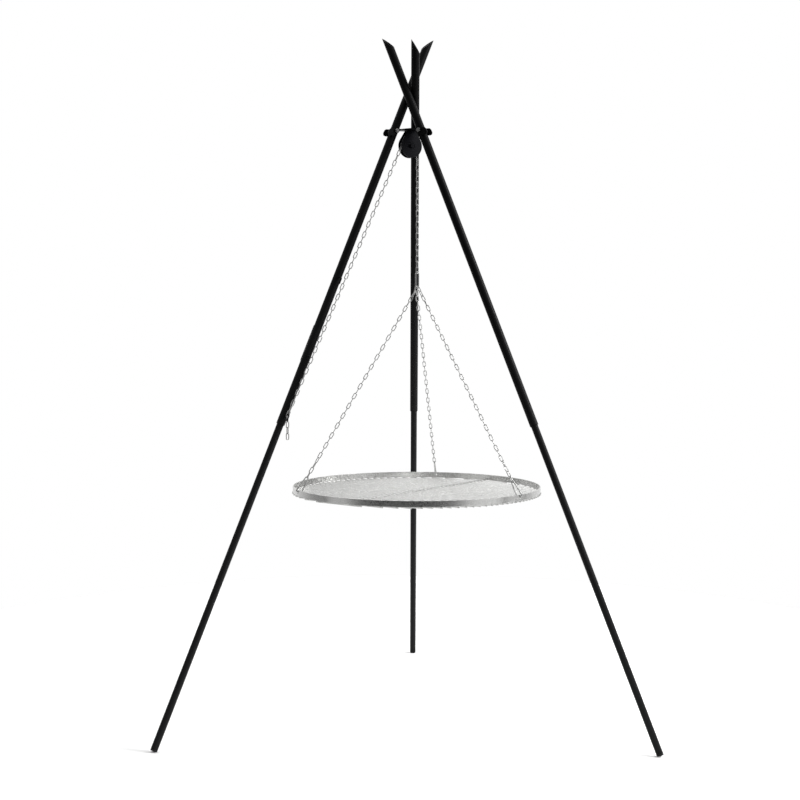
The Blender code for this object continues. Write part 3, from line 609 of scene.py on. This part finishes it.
def rods_tree():
    """Parallel rods that end on a circle, each one as long as the circle is wide there. Points give the
    rods' places across the circle, along Y."""
    tree, given, out = geometry_tree("rods across a ring", ("Circle Radius", "Overhang", "Rod"))
    place = node(tree, "GeometryNodeInputPosition").outputs[0]
    across = node(tree, "ShaderNodeSeparateXYZ", {0: place}).outputs["Y"]
    square = math_of(tree, "POWER", math_of(tree, "ABSOLUTE", across), 2.0)
    whole = math_of(tree, "POWER", given["Circle Radius"], 2.0)
    half = math_of(tree, "SQRT", math_of(tree, "SUBTRACT", whole, square))
    longer = math_of(tree, "ADD", half, given["Overhang"])
    size = node(tree, "ShaderNodeCombineXYZ", {"X": longer, "Y": 1.0, "Z": 1.0}).outputs[0]
    radius = math_of(tree, "MULTIPLY", given["Rod"], 0.5)
    bar = node(tree, "GeometryNodeMeshCylinder", {"Vertices": 14, "Radius": radius, "Depth": 2.0})
    inputs = {"Geometry": bar.outputs[0], "Rotation": (0.0, math.pi / 2, 0.0)}
    lying = node(tree, "GeometryNodeTransform", inputs)
    return put_on_points(tree, given, out, lying.outputs[0], Scale=size)


def spots_tree():
    """A weld spot on each point."""
    tree, given, out = geometry_tree("weld spots", ("Spot",))
    drop = node(tree, "GeometryNodeMeshIcoSphere", {"Radius": given["Spot"], "Subdivisions": 2})
    return put_on_points(tree, given, out, drop.outputs[0])


def points_mesh(points, turns=None):
    mesh = bpy.data.meshes.new("points")
    mesh.from_pydata([tuple(point) for point in points], [], [])
    if turns is not None:
        attribute = mesh.attributes.new("turn", "FLOAT_VECTOR", "POINT")
        attribute.data.foreach_set("vector", [value for turn in turns for value in turn])
    return mesh


def round_wire(points, radius, closed, sides=10):
    """A round wire swept along points."""
    curve = bpy.data.curves.new("wire", "CURVE")
    curve.dimensions = "3D"
    spline = curve.splines.new("POLY")
    spline.points.add(len(points) - 1)
    for place, point in zip(spline.points, points):
        place.co = (*point, 1)
    spline.use_cyclic_u = closed
    curve.bevel_depth = radius
    curve.bevel_resolution = sides // 4
    curve.use_fill_caps = not closed
    shape = bmesh.new()
    shape.from_mesh(settled_mesh(linked("wire", curve)))
    bmesh.ops.remove_doubles(shape, verts=shape.verts, dist=1e-6)
    return mesh_of(shape, "wire")


# ------------ legs

BORE_PLAY = 0.0004  # between a lower tube and the bore of its upper tube
SPARE_TOP = 0.01  # what the slanting cut takes off an upper tube
PLUG_COLLAR = 0.004
PLUG_PLAY = 0.0003  # between a plug's stem and the tube's bore
SAWN_ANGLE = 40.0  # degrees between two faces of a tube, from where their edge is rounded
HOOK_BEND = 0.005
HOOK_SINK = 0.0006  # how far a hook's root goes into the tube's skin
BEND_STEPS = 8
HOOK_WELD = ((0.0, 0.0), (0.0012, 0.0), (0.0004, 0.0012), (0.0, 0.0016))  # out from the rod, and up
HOOK_WELD_STEPS = 24
STRIP_EDGE = 0.0005


def leg_axes(name):
    """Origin on the leg's bolt, Z up along the leg, Y anticlockwise."""
    up = -Vector(JOINTS["leg_draw_" + name]["axis"]).normalized()
    side = -Vector(JOINTS["leg_fold_" + name]["axis"]).normalized()
    return axes_at(Vector(JOINTS["leg_fold_" + name]["pos_m"]), side.cross(up), up)


def sawn_face(name, matrix):
    """A point on the slanting cut at the tube's top and the cut's outward normal, in the leg's frame."""
    local = matrix.inverted()
    axis_only = local.to_3x3()
    total, middle, weight = Vector(), Vector(), 0.0
    mesh = NODES[name].data
    top = max((local @ vertex.co).z for vertex in mesh.vertices)
    for face in mesh.polygons:
        normal = axis_only @ face.normal
        centre = local @ face.center
        if 0.3 < normal.z < 0.75 and centre.z > top - 0.05:
            total += face.area * normal
            middle += face.area * centre
            weight += face.area
    return middle / weight, total.normalized()


def tube_mesh(sizes, radii, ends, cut=None):
    """A tube along Z, with its top cut off at a slant or not."""
    (outer, inner), (low, high) = radii, ends
    profile = [(outer, low), (outer, high), (inner, high), (inner, low)]
    shape = turned(profile, sizes.sides)
    if cut:
        sliced(shape, *cut, clear_outer=True)
        bmesh.ops.bridge_loops(shape, edges=[item for item in shape.edges if item.is_boundary])
    return rounded_edges(mesh_of(shape, "tube"), sizes.edge, SAWN_ANGLE)


def add_plug(name, matrix, radius, sizes):
    low, high, _ = reach(name, matrix)
    collar = low + PLUG_COLLAR
    stem = radius - sizes.wall - PLUG_PLAY
    bevel, rise, soft = 0.0012, 0.0004, 0.0003
    profile = [
        (radius - bevel, low),
        (radius - soft, low + rise),
        (radius, low + bevel),
        (radius, collar - soft),
        (radius - soft, collar),
        (stem, collar),
        (stem, high),
    ]
    shape = turned(profile, sizes.sides, closed=False)
    ground = matrix.inverted() @ Vector((matrix.translation.x, matrix.translation.y, 0.0))
    level = matrix.inverted().to_3x3() @ UP
    cut = sliced(shape, ground, level, clear_inner=True)
    rim = [item for item in cut["geom_cut"] if isinstance(item, bmesh.types.BMEdge)]
    bmesh.ops.edgeloop_fill(shape, edges=rim)
    stand_in(name, mesh_of(shape, name), PLUG, matrix)


class SWING_OT_legs(bpy.types.Operator):
    """Make the six leg tubes, with their sawn tips, and the plugs that they stand on"""

    bl_idname = "swing.legs"
    bl_label = "Legs"

    def execute(self, context):
        sizes = context.scene.swing_tubes
        for name in LEGS:
            matrix = leg_axes(name)
            upper, lower = "upper_leg_" + name, "lower_leg_" + name
            low, high, radius = reach(upper, matrix)
            below, above, thin = reach(lower, matrix)
            radii, ends = (radius, thin + BORE_PLAY), (low, high + SPARE_TOP)
            stand_in(upper, tube_mesh(sizes, radii, ends, sawn_face(upper, matrix)), COAT, matrix)
            radii, ends = (thin, thin - sizes.wall), (below, above)
            stand_in(lower, tube_mesh(sizes, radii, ends), COAT, matrix)
            add_plug("foot_plug_" + name, matrix, thin, sizes)
        return {"FINISHED"}


class SWING_OT_hooks(bpy.types.Operator):
    """Make the three chain hooks with their welds, and the strip on the tube's far side"""

    bl_idname = "swing.hooks"
    bl_label = "Chain hooks"

    def execute(self, context):
        matrix = leg_axes("left")
        for which in ("low", "mid", "high"):
            name = "chain_hook_" + which
            points = points_in(name, matrix)
            low, high = points.min(axis=0), points.max(axis=0)
            middle, radius = (low[0] + high[0]) / 2, (high[0] - low[0]) / 2
            level = high[2] - radius
            if abs(low[1]) < abs(high[1]):
                sense, inner, outer = 1, low[1], high[1] - radius
            else:
                sense, inner, outer = -1, high[1], low[1] + radius
            root = inner - sense * HOOK_SINK
            corner = (outer - sense * HOOK_BEND, level - HOOK_BEND)
            bend = arc(corner, HOOK_BEND, math.pi / 2, math.pi * (sense < 0), BEND_STEPS)
            path = [(middle, y, z) for y, z in [(root, level), *bend, (outer, low[2])]]
            stand_in(name, round_wire(path, radius, False, 16), COAT, matrix)
            weld = [(radius + out, up) for out, up in HOOK_WELD]
            mesh = mesh_of(turned(weld, HOOK_WELD_STEPS), "weld")
            foot = axes_at(Vector((middle, root, level)), Vector((1, 0, 0)), Vector((0, sense, 0)))
            keep(name + "_weld", mesh, COAT, BODY_OF[name], place=matrix @ foot)
        softened("leg_backing_strip", COAT, STRIP_EDGE)
        return {"FINISHED"}


# ------------ hub and pulley

HUB_EDGE = 0.0006
BOLT_EDGE = 0.0003
CHEEK = 0.002
CHEEK_STEPS = 64
CHEEK_EDGE = 0.0005
BRIDGE = 0.003
BRIDGE_DROP = 0.0016  # how far the bridge's middle is under the cheeks' top
BOSS = ((0.0085, 0.0), (0.0092, 0.0007), (0.0105, 0.0007), (0.0112, 0.0))  # radius and height
BOSS_SINK = 0.00005
BOSS_STEPS = 48
WHEEL_STEPS = 72
WHEEL_BEVEL = 0.0004
GROOVE_RADIUS = 0.0182
GROOVE_DEPTH = 0.0016
GROOVE_BEND = 0.0008
WHEEL_LIP = 0.0011
LIP_BEVEL = (0.0005, 0.0003)  # in, and along the axle


class SWING_OT_hub(bpy.types.Operator):
    """Make the folded hub and the bolts and nuts that hold the legs and the pulley"""

    bl_idname = "swing.hub"
    bl_label = "Hub and bolts"

    def execute(self, context):
        softened("hub_plate", COAT, HUB_EDGE)
        for name in LEGS:
            for kind in ("leg_bolt_", "leg_nut_"):
                softened(kind + name, BOLT, BOLT_EDGE)
        softened("hanger_bolt", COAT, BOLT_EDGE)
        softened("hanger_nut", BOLT, BOLT_EDGE)
        softened("pulley_axle", WHEEL, BOLT_EDGE)
        softened("pulley_axle_nut", WHEEL, BOLT_EDGE)
        return {"FINISHED"}


def pulley_axes():
    """Origin at the wheel's centre, X towards the left leg, Y up, Z along the axle."""
    across = Vector(JOINTS["wheel_spin"]["axis"]).normalized()
    return axes_at(Vector(JOINTS["wheel_spin"]["pos_m"]), UP.cross(across), across)


def add_wheel(matrix):
    points = points_in("pulley_wheel", matrix)
    radii = np.hypot(points[:, 0], points[:, 1])
    half = points[:, 2].max()
    bore, rim = radii.min(), radii.max()
    inside = -half + WHEEL_LIP
    profile = [
        (bore, -half),
        (rim - WHEEL_BEVEL, -half),
        (rim, -half + WHEEL_BEVEL),
        (rim, inside - LIP_BEVEL[1]),
        (rim - LIP_BEVEL[0], inside),
        (GROOVE_RADIUS + GROOVE_BEND, inside),
        (GROOVE_RADIUS, inside + GROOVE_BEND),
        (GROOVE_RADIUS - GROOVE_DEPTH, -GROOVE_DEPTH),
    ]
    profile += [(r, -z) for r, z in reversed(profile)]
    stand_in("pulley_wheel", mesh_of(turned(profile, WHEEL_STEPS), "wheel"), WHEEL, matrix)


class SWING_OT_pulley(bpy.types.Operator):
    """Make the pulley's two pressed cheeks with their bridge, and its grooved wheel"""

    bl_idname = "swing.pulley"
    bl_label = "Pulley"

    def execute(self, context):
        matrix = pulley_axes()
        points = points_in("pulley_frame", matrix)
        low, high = points.min(axis=0), points.max(axis=0)
        radius, top, outer = -low[1], high[1], high[2]
        neck = points[points[:, 1] > top - 0.001][:, 0].max()
        gap = outer - CHEEK
        touch = math.atan2(top, neck) - math.acos(radius / math.hypot(neck, top))
        outline = [(neck, top), *arc((0, 0), radius, touch, -math.pi - touch, CHEEK_STEPS), (-neck, top)]
        both = bmesh.new()
        for sense in (-1, 1):
            near, far = sorted((sense * gap, sense * (gap + CHEEK)))
            both.from_mesh(mesh_of(raised(outline, near, far), "cheek"))
        bridge = block((2 * neck - 0.0002, BRIDGE, 2 * gap + CHEEK), (0, top - BRIDGE_DROP, 0), "bridge")
        whole = boolean_mesh(mesh_of(both, "cheeks"), bridge, "UNION")
        stand_in("pulley_frame", rounded_edges(whole, CHEEK_EDGE), PULLEY, matrix)
        for sense, side in ((-1, "front"), (1, "back")):
            mesh = mesh_of(turned(BOSS, BOSS_STEPS), "boss")
            half_turn = Matrix.Rotation(math.pi * (sense < 0), 4, "X")
            place = matrix @ Matrix.Translation((0, 0, sense * (outer - BOSS_SINK))) @ half_turn
            keep("pulley_boss_" + side, mesh, PULLEY, "hub", place=place)
        add_wheel(matrix)
        return {"FINISHED"}


# ------------ chains

END_FACE = 0.001  # of a stretch's end, for the middle of its end face
CROWN = 0.0035  # of a stretch's end, in which only its last link has points
SETTLING_LINKS = 5  # over which a long stretch turns to face the front, and back
WHEEL_SLACK = 1.005  # a link on the wheel has a little more room than the pitch
FLAT_ON_WHEEL = 0.7  # of a width axis across the wheel, from where a link there lies flat
GATHER_WIRE = 0.0016  # radius
GATHER_SPARE = 0.0003  # how far it may stand out from its solid
RIM_LINK_WIRE = 0.0015  # radius
RIM_LINK_CORNER = 0.0042
RIM_LINK_APEX = 0.002  # of its upper end, for how wide its narrow bend is
RIM_LINK_END = 0.004  # of either end, for where that end's middle is
RIM_LINK_TURN = math.radians(100)  # from its side to its foot, which sags a little


def turn_of(along, width_axis):
    """The angles that lay a link's length along one axis and its width along another."""
    matrix = Matrix((width_axis, along, width_axis.cross(along))).transposed()
    return tuple(matrix.to_euler())


def spread_direction(points, axis):
    """The direction square to the axis in which the points spread the most."""
    offset = points - points.mean(axis=0)
    offset = offset - np.outer(offset @ axis, axis)
    _, _, directions = np.linalg.svd(offset, full_matrices=False)
    return Vector(directions[0]).normalized()


def downward_axis(points):
    """The downward direction of a straight stretch."""
    _, _, directions = np.linalg.svd(points - points.mean(axis=0), full_matrices=False)
    axis = directions[0]
    return axis if axis[2] < 0 else -axis


def eased(share):
    """From 0 to 1 with a soft start and a soft end."""
    share = min(1.0, max(0.0, share))
    return share * share * (3 - 2 * share)


def straight_stretch(name, sizes):
    """Middle, direction and width axis of each link of a straight solid, from its top to its bottom."""
    points = points_of(name)
    middle = points.mean(axis=0)
    axis = downward_axis(points)
    along = (points - middle) @ axis
    top, bottom = float(along.min()), float(along.max())
    first, last = top + sizes.solid_end, bottom - sizes.solid_end
    count = round((last - first) / sizes.pitch) + 1
    centre = points[along < top + END_FACE].mean(axis=0) + points[along > bottom - END_FACE].mean(axis=0)
    centre = centre / 2
    centre = centre - axis * ((centre - middle) @ axis)
    start_width = spread_direction(points[along < top + CROWN], axis)
    end_width = spread_direction(points[along > bottom - CROWN], axis)
    down = Vector(axis)
    crossed = start_width if (count - 1) % 2 == 0 else down.cross(start_width)
    twist = math.atan2(down.dot(crossed.cross(end_width)), crossed.dot(end_width))
    twist = (twist + math.pi / 2) % math.pi - math.pi / 2
    facing = FRONT.cross(down).normalized()
    square_on = math.atan2(down.dot(start_width.cross(facing)), start_width.dot(facing))
    square_on = (square_on + math.pi / 4) % (math.pi / 2) - math.pi / 4
    links = []
    for i in range(count):
        share = i / max(1, count - 1)
        if count > 4 * SETTLING_LINKS:
            leaving = eased((i - count + 1) / SETTLING_LINKS + 1)
            angle = eased(i / SETTLING_LINKS) * square_on + leaving * (twist - square_on)
        else:
            angle = twist * share
        width_axis = Matrix.Rotation(angle + math.radians(90) * (i % 2), 3, down) @ start_width
        place = Vector(centre) + (first + share * (last - first)) * down
        links.append((place, down, width_axis))
    return links


def over_the_wheel(sizes, last_width):
    """The links from the end of the hauling run over the wheel to the last one that the pulley holds."""
    matrix = pulley_axes()
    centre, out, across = matrix.translation, matrix.col[0].to_3d(), matrix.col[2].to_3d()
    start = Vector(JOINTS["haul_swing"]["pos_m"])
    stop = Vector(JOINTS["swing_side"]["pos_m"])
    radius = sizes.wheel_radius
    offset = start - centre
    p, q = offset.dot(out), offset.dot(UP)
    start_angle = math.atan2(q, p) + math.acos(min(1.0, radius / math.hypot(p, q)))

    def on_wheel(angle):
        return centre + radius * (math.cos(angle) * out + math.sin(angle) * UP)

    touch = on_wheel(start_angle)
    run = (touch - start).length
    bend = radius * (math.pi - start_angle)
    total = run + bend + (on_wheel(math.pi).z - stop.z)

    def at(length):
        if length < run:
            return start.lerp(touch, length / run)
        if length < run + bend:
            return on_wheel(start_angle + (length - run) / radius)
        return on_wheel(math.pi) - (length - run - bend) * UP

    links = []
    flat = abs(last_width.dot(across)) > FLAT_ON_WHEEL
    count = round(total / (sizes.pitch * WHEEL_SLACK))
    here = at(0.0)
    for i in range(count):
        there = at(total * (i + 1) / count)
        along = (there - here).normalized()
        width_axis = across.cross(along).normalized() if flat == (i % 2 == 0) else across
        links.append(((here + there) / 2, along, width_axis))
        here = there
    return links


def single_link(name, path, radius):
    """The visible piece of a long link of its own."""
    stand_in(name, round_wire(path, radius, True, 16), CHAIN, None, ROUND_CREASE)


def add_gather_link():
    name = "gather_link"
    points = points_of(name)
    middle = points.mean(axis=0)
    low, high = float(points[:, 2].min()), float(points[:, 2].max())
    lying = spread_direction(points, np.array((0.0, 0.0, 1.0)))
    facing = lying.cross(UP)
    thick = np.ptp((points - middle) @ np.array(facing))
    half_width = float(np.ptp((points - middle) @ np.array(lying))) / 2 - GATHER_WIRE
    half_length = (high - low) / 2 - GATHER_WIRE
    centre = Vector((middle[0], middle[1], (low + high) / 2))
    crown = half_length - half_width
    path = arc((0, crown), half_width, 0, math.pi, 16)
    path += arc((0, -crown), half_width, math.pi, 2 * math.pi, 16)
    path = [centre + x * lying + y * UP for x, y in path]
    single_link(name, path, min(GATHER_WIRE, thick / 2 + GATHER_SPARE))


def add_rim_link(sling):
    """A long link bent to a narrow loop: a tight bend at the chain and a wide one through the rim."""
    name = "rim_link_" + sling
    points = points_of(name)
    hang = Vector(downward_axis(points_of("sling_chain_" + sling)))
    level = hang.cross(UP).normalized()
    inward = level.cross(hang).normalized()
    middle = Vector(points.mean(axis=0))
    along = (points - np.array(middle)) @ np.array(hang)
    aside = (points - np.array(middle)) @ np.array(inward)
    radius, corner = RIM_LINK_WIRE, RIM_LINK_CORNER
    start = float(along.min())
    centre_line = float(aside[along < start + RIM_LINK_END].mean())
    top, bottom = start + radius, float(along.max()) - radius
    foot = float(np.ptp(aside)) / 2 - radius
    apex = float(np.ptp(aside[along < start + RIM_LINK_APEX])) / 2 - radius * 0.6
    path = arc((0, top + apex), apex, -math.pi, 0, 12)
    path += arc((foot - corner, bottom - corner), corner, 0, RIM_LINK_TURN, 8)
    path += arc((corner - foot, bottom - corner), corner, math.pi - RIM_LINK_TURN, math.pi, 8)
    single_link(name, [middle + (centre_line + x) * inward + y * hang for x, y in path], radius)


class SWING_OT_chains(bpy.types.Operator):
    """Make every stretch of chain from welded oval links"""

    bl_idname = "swing.chains"
    bl_label = "Chains"

    def execute(self, context):
        sizes = context.scene.swing_chain
        tree = chain_tree()
        straight = ["haul_chain", "chain_tail", "swing_link", "lift_chain", "lift_end_link"]
        straight += ["sling_chain_" + sling for sling in SLINGS]
        stretches = {name: straight_stretch(name, sizes) for name in straight}
        stretches["wheel_chain"] = over_the_wheel(sizes, stretches["haul_chain"][0][2])
        lengths = {"Wire": sizes.wire, "Link Width": sizes.width, "Half Length": sizes.half}
        for name, links in stretches.items():
            places, *axes = zip(*links)
            mesh = points_mesh(places, [turn_of(*pair) for pair in zip(*axes)])
            mesh = grown_mesh(tree, mesh, CHAIN, lengths)
            if name != "lift_chain":
                stand_in(name, mesh, CHAIN, None, ROUND_CREASE)
                continue
            piece = keep(name + "_fine", mesh, CHAIN, None, (name,), ROUND_CREASE)
            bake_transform(piece)
        add_gather_link()
        for sling in SLINGS:
            add_rim_link(sling)
        return {"FINISHED"}


# ------------ grate

RIM_EDGE = 0.0007  # rounding of the band
RIM_STEPS = 240
DRILL_STEPS = 28
DRILL_SPARE = 0.01  # how far the drill goes past the band, both ways
SEAM_SIZE = (0.0006, 0.0022, 0.0012)  # of the bead: out, along, and what it leaves free of the height
SEAM_LIFT = 0.00005  # of the bead's middle from the band's face
SEAM_EDGE = 0.00025
WELD_BITE = 0.0006  # how far the cross rod goes into what it is welded to
ROD_OVERHANG = 0.0012  # how far the rods stand out past the rim
ROD_EDGE = 0.0006
CROSS_ROD_EDGE = 0.0008
END_ANGLE = 50.0  # degrees, so that only the rods' ends are rounded
ROD_CREASE = 40.0
SPOT = 0.0012  # radius of a weld spot
SPOT_DROP = 0.0002  # how far a spot's middle is under the band


def add_rim(sizes, radius, height, placed, hang):
    inner = radius - sizes.band
    out, back, down = radius - RIM_EDGE, inner + RIM_EDGE, RIM_EDGE - height
    profile = []
    for i, corner in enumerate(((out, down), (out, -RIM_EDGE), (back, -RIM_EDGE), (back, down)), -1):
        profile += arc(corner, RIM_EDGE, i * math.pi / 2, (i + 1) * math.pi / 2, 2)
    mesh = mesh_of(turned(profile, RIM_STEPS), "rim")
    side = [(sizes.hole / 2, inner - DRILL_SPARE), (sizes.hole / 2, radius + DRILL_SPARE)]
    for sling in SLINGS:
        link = points_of("rim_link_" + sling)
        foot = link[link[:, 2] < link[:, 2].min() + RIM_LINK_END].mean(axis=0)
        x, y, _ = placed.inverted() @ Vector(foot)
        drill = mesh_of(turned(side, DRILL_STEPS, closed=False), "drill")
        drill.transform(axes_at(Vector((0, 0, -sizes.hole_drop)), UP, Vector((x, y, 0))))
        mesh = boolean_mesh(mesh, drill, "DIFFERENCE")
    stand_in("grate_rim", mesh, BAND, placed)
    out, along, free = SEAM_SIZE
    bead = block((out, along, height - free), (radius + SEAM_LIFT, 0, -height / 2), "bead")
    place = hang @ Matrix.Rotation(sizes.seam, 4, "Z")
    keep("rim_weld", rounded_edges(bead, SEAM_EDGE), BAND, "grate", place=place)


def add_rods(sizes, radius, height, placed):
    low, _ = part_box("grate_grid")
    level = low.z + sizes.rod / 2 - placed.translation.z
    count = math.floor((radius - 1.5 * sizes.rod) / sizes.pitch)
    places = [(0.0, i * sizes.pitch, level) for i in range(-count, count + 1)]
    lengths = {"Circle Radius": radius, "Overhang": ROD_OVERHANG, "Rod": sizes.rod}
    rods = grown_mesh(rods_tree(), points_mesh(places), ROD, lengths)
    rods = rounded_edges(rods, ROD_EDGE, END_ANGLE)
    over = level + (sizes.rod + sizes.cross_rod) / 2 - WELD_BITE
    half = radius - sizes.band - WELD_BITE
    path = [Vector((0, -half, over)), Vector((0, half, over))]
    cross_rod = round_wire(path, sizes.cross_rod / 2, False, 20)
    cross_rod = rounded_edges(cross_rod, CROSS_ROD_EDGE, END_ANGLE)
    spots = []
    for _, y, _ in places:
        half = math.sqrt(radius**2 - y**2) - SPOT
        spots += [(end * half, y, -height - SPOT_DROP) for end in (-1, 1)]
    welds = grown_mesh(spots_tree(), points_mesh(spots), ROD, {"Spot": SPOT})
    for name, mesh, stands_for, crease in (
        ("grate_rods", rods, ("grate_grid",), ROD_CREASE),
        ("grate_cross_rod", cross_rod, (), ROD_CREASE),
        ("grate_welds", welds, (), ROUND_CREASE),
    ):
        keep(name, mesh, ROD, "grate", stands_for, crease, placed)


class SWING_OT_grate(bpy.types.Operator):
    """Make the rolled rim with its holes and weld, the rods, the cross rod and their welds"""

    bl_idname = "swing.grate"
    bl_label = "Grate"

    def execute(self, context):
        sizes = context.scene.swing_grate
        low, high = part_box("grate_rim")
        centre = (low + high) / 2
        radius = (high.x - low.x) / 2
        hang = Matrix.Translation((centre.x, centre.y, high.z))
        placed = hang @ Matrix.Rotation(sizes.turn, 4, "Z")
        height = high.z - low.z
        add_rim(sizes, radius, height, placed, hang)
        add_rods(sizes, radius, height, placed)
        return {"FINISHED"}


# ------------ studio

LAMPS = (  # name, place, what it points at, width, watts, and whether the metal mirrors it
    ("key", (3.4, -0.6, 3.2), (0.0, 0.0, 0.7), 1.6, 100.0, True),
    ("top", (-0.6, 1.6, 4.0), (0.0, -0.1, 0.6), 2.6, 50.0, True),
    ("low front", (3.3, -1.1, 1.7), (0.0, 0.0, 0.3), 1.8, 130.0, False),
    ("low rear", (3.3, 1.4, 1.7), (0.0, 0.0, 0.3), 1.8, 110.0, False),
)
FLOOR_RADIUS = 1.9
FLOOR_TONE = 0.7


class SWING_OT_finishes(bpy.types.Operator):
    """Make the finishes of the coated, plated and stainless pieces"""

    bl_idname = "swing.finishes"
    bl_label = "Finishes"

    def execute(self, context):
        colours = context.scene.swing_finish
        low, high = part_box("grate_rim")
        centre = (low + high) / 2
        orange_peel_group()
        low_tone_group()
        drawn_metal_group()
        ring_marks_group()
        # the lighter colour that the coats turn to towards the ground
        low_tone = tuple(colours.low_tone)
        coated_finish("powder coat", tuple(colours.coat), 0.36, 0.5, 0.07, (1.0, low_tone))
        coated_finish("pulley black", tuple(colours.wheel), 0.34, 0.35, 0.09, (0.0, low_tone))
        coated_finish("plug plastic", tuple(colours.plug), 0.55, 0.5, 0.25, (0.5, low_tone))
        across = {"Across_X": 700.0, "Across_Y": 700.0, "Across_Z": 700.0}
        drawn = ("drawn marks", across)
        small = ("drawn marks", {**across, "Cloud_Size": 0.012})
        ring = ("rolled ring marks", {"Centre_X": centre.x, "Centre_Y": centre.y})
        zinc, steel = tuple(colours.zinc), tuple(colours.stainless)
        # painted shade: the bolts' zinc is halved in tone, standing in for the dark room that their ends
        # mirror
        shaded_zinc = tuple(0.5 * value for value in zinc)
        metal_finish("bolt zinc", shaded_zinc, drawn, 0.6, (0.3, 0.5), 0.00003)
        metal_finish("chain zinc", zinc, small, 0.6, (0.2, 0.4), 0.00004)
        metal_finish("drawn stainless", steel, drawn, 0.8, (0.22, 0.36), 0.00002)
        metal_finish("rolled stainless", steel, ring, 0.82, (0.2, 0.34), 0.00003)
        return {"FINISHED"}


def add_camera(scene, values):
    data = bpy.data.cameras.new("camera")
    data.lens = values.focal
    data.sensor_width = 36.0
    camera = linked("camera", data)
    scene.camera = camera
    yaw, pitch, roll = values.yaw, values.pitch, values.roll
    level = math.cos(pitch)
    ahead = Vector((math.sin(yaw) * level, math.cos(yaw) * level, math.sin(pitch)))
    right = Vector((math.cos(yaw), -math.sin(yaw), 0))
    above = right.cross(ahead)
    rolled = math.cos(roll) * right + math.sin(roll) * above
    above = rolled.cross(ahead)
    camera.matrix_world = Matrix((rolled, above, -ahead)).transposed().to_4x4()
    camera.location = values.place


def add_world(scene):
    """White where the camera sees it. The metal sees a dark room in front, with a bright wall on the
    right, a bright strip on the left, and light behind and above."""
    world = bpy.data.worlds.new("studio")
    scene.world = world
    world.use_nodes = True
    tree = world.node_tree
    place = node(tree, "ShaderNodeTexCoord").outputs["Generated"]
    parts = node(tree, "ShaderNodeSeparateXYZ", {0: place}).outputs
    bearing = math_of(tree, "ARCTAN2", parts["X"], math_of(tree, "MULTIPLY", parts["Y"], -1.0))
    share = ranged(tree, bearing, From_Min=-math.pi, From_Max=math.pi)
    walls = node(tree, "ShaderNodeValToRGB", {"Fac": share})
    stops = walls.color_ramp.elements
    for _ in ROOM_WALLS[2:]:
        stops.new(0.5)
    for stop, (degrees, tone) in zip(stops, ROOM_WALLS):
        stop.position = 0.5 + degrees / 360
        stop.color = (tone, tone, tone, 1)
    white = (1, 1, 1)
    rise = ranged(tree, parts["Z"], From_Min=0.25, From_Max=0.75)
    room = tone_between(tree, rise, walls.outputs["Color"], white)
    camera_ray = node(tree, "ShaderNodeLightPath").outputs["Is Camera Ray"]
    seen = tone_between(tree, camera_ray, room, white)
    set_inputs(tree, tree.nodes["Background"], {"Color": seen, "Strength": 1.0})


def add_floor():
    shape = bmesh.new()
    bmesh.ops.create_circle(shape, cap_ends=True, radius=FLOOR_RADIUS, segments=96)
    floor = linked("floor", mesh_of(shape, "floor"))
    tree, shader = new_finish("floor white")
    tree.nodes.remove(shader)
    pale = node(tree, "ShaderNodeBsdfDiffuse", {"Color": (FLOOR_TONE, FLOOR_TONE, FLOOR_TONE, 1)})
    set_inputs(tree, tree.nodes["Material Output"], {"Surface": pale.outputs[0]})
    floor.data.materials.append(finish_of("floor white"))


def add_lamp(name, place, aim, size, power, mirrored):
    data = bpy.data.lights.new(name, "AREA")
    data.shape = "DISK"
    data.size = size
    data.energy = power
    lamp = linked(name, data)
    lamp.visible_glossy = mirrored
    lamp.location = place
    lamp.rotation_euler = (Vector(aim) - Vector(place)).to_track_quat("-Z", "Y").to_euler()


class SWING_OT_studio(bpy.types.Operator):
    """Make the camera, the white floor and the soft lights"""

    bl_idname = "swing.studio"
    bl_label = "Studio"

    def execute(self, context):
        scene = context.scene
        values = scene.swing_studio
        scene.view_settings.view_transform = "Standard"
        add_camera(scene, values)
        add_world(scene)
        add_floor()
        for lamp in LAMPS:
            add_lamp(*lamp)
        return {"FINISHED"}


class SWING_PT_panel(bpy.types.Panel):
    """Lists the steps in their order"""

    bl_idname = "SWING_PT_panel"
    bl_label = "Swing Grill"
    bl_space_type = "VIEW_3D"
    bl_region_type = "UI"
    bl_category = "Swing Grill"

    def draw(self, context):
        for step in STEPS:
            self.layout.operator(step.bl_idname)


STEPS = (
    SWING_OT_finishes,
    SWING_OT_studio,
    SWING_OT_legs,
    SWING_OT_hooks,
    SWING_OT_hub,
    SWING_OT_pulley,
    SWING_OT_chains,
    SWING_OT_grate,
)
CLASSES = (*SETTINGS.values(), *STEPS, SWING_PT_panel)


def register():
    for item in CLASSES:
        bpy.utils.register_class(item)
    for name, group in SETTINGS.items():
        setattr(bpy.types.Scene, name, bpy.props.PointerProperty(type=group))


def unregister():
    for name in SETTINGS:
        delattr(bpy.types.Scene, name)
    for item in reversed(CLASSES):
        bpy.utils.unregister_class(item)


def main():
    register()
    for obj in list(bpy.data.objects):
        if obj.name in ("Cube", "Light", "Camera"):
            bpy.data.objects.remove(obj, do_unlink=True)
    for step in STEPS:
        getattr(bpy.ops.swing, step.bl_idname.split(".")[1])()
    bpy.context.view_layer.update()


if __name__ == "__main__":
    main()
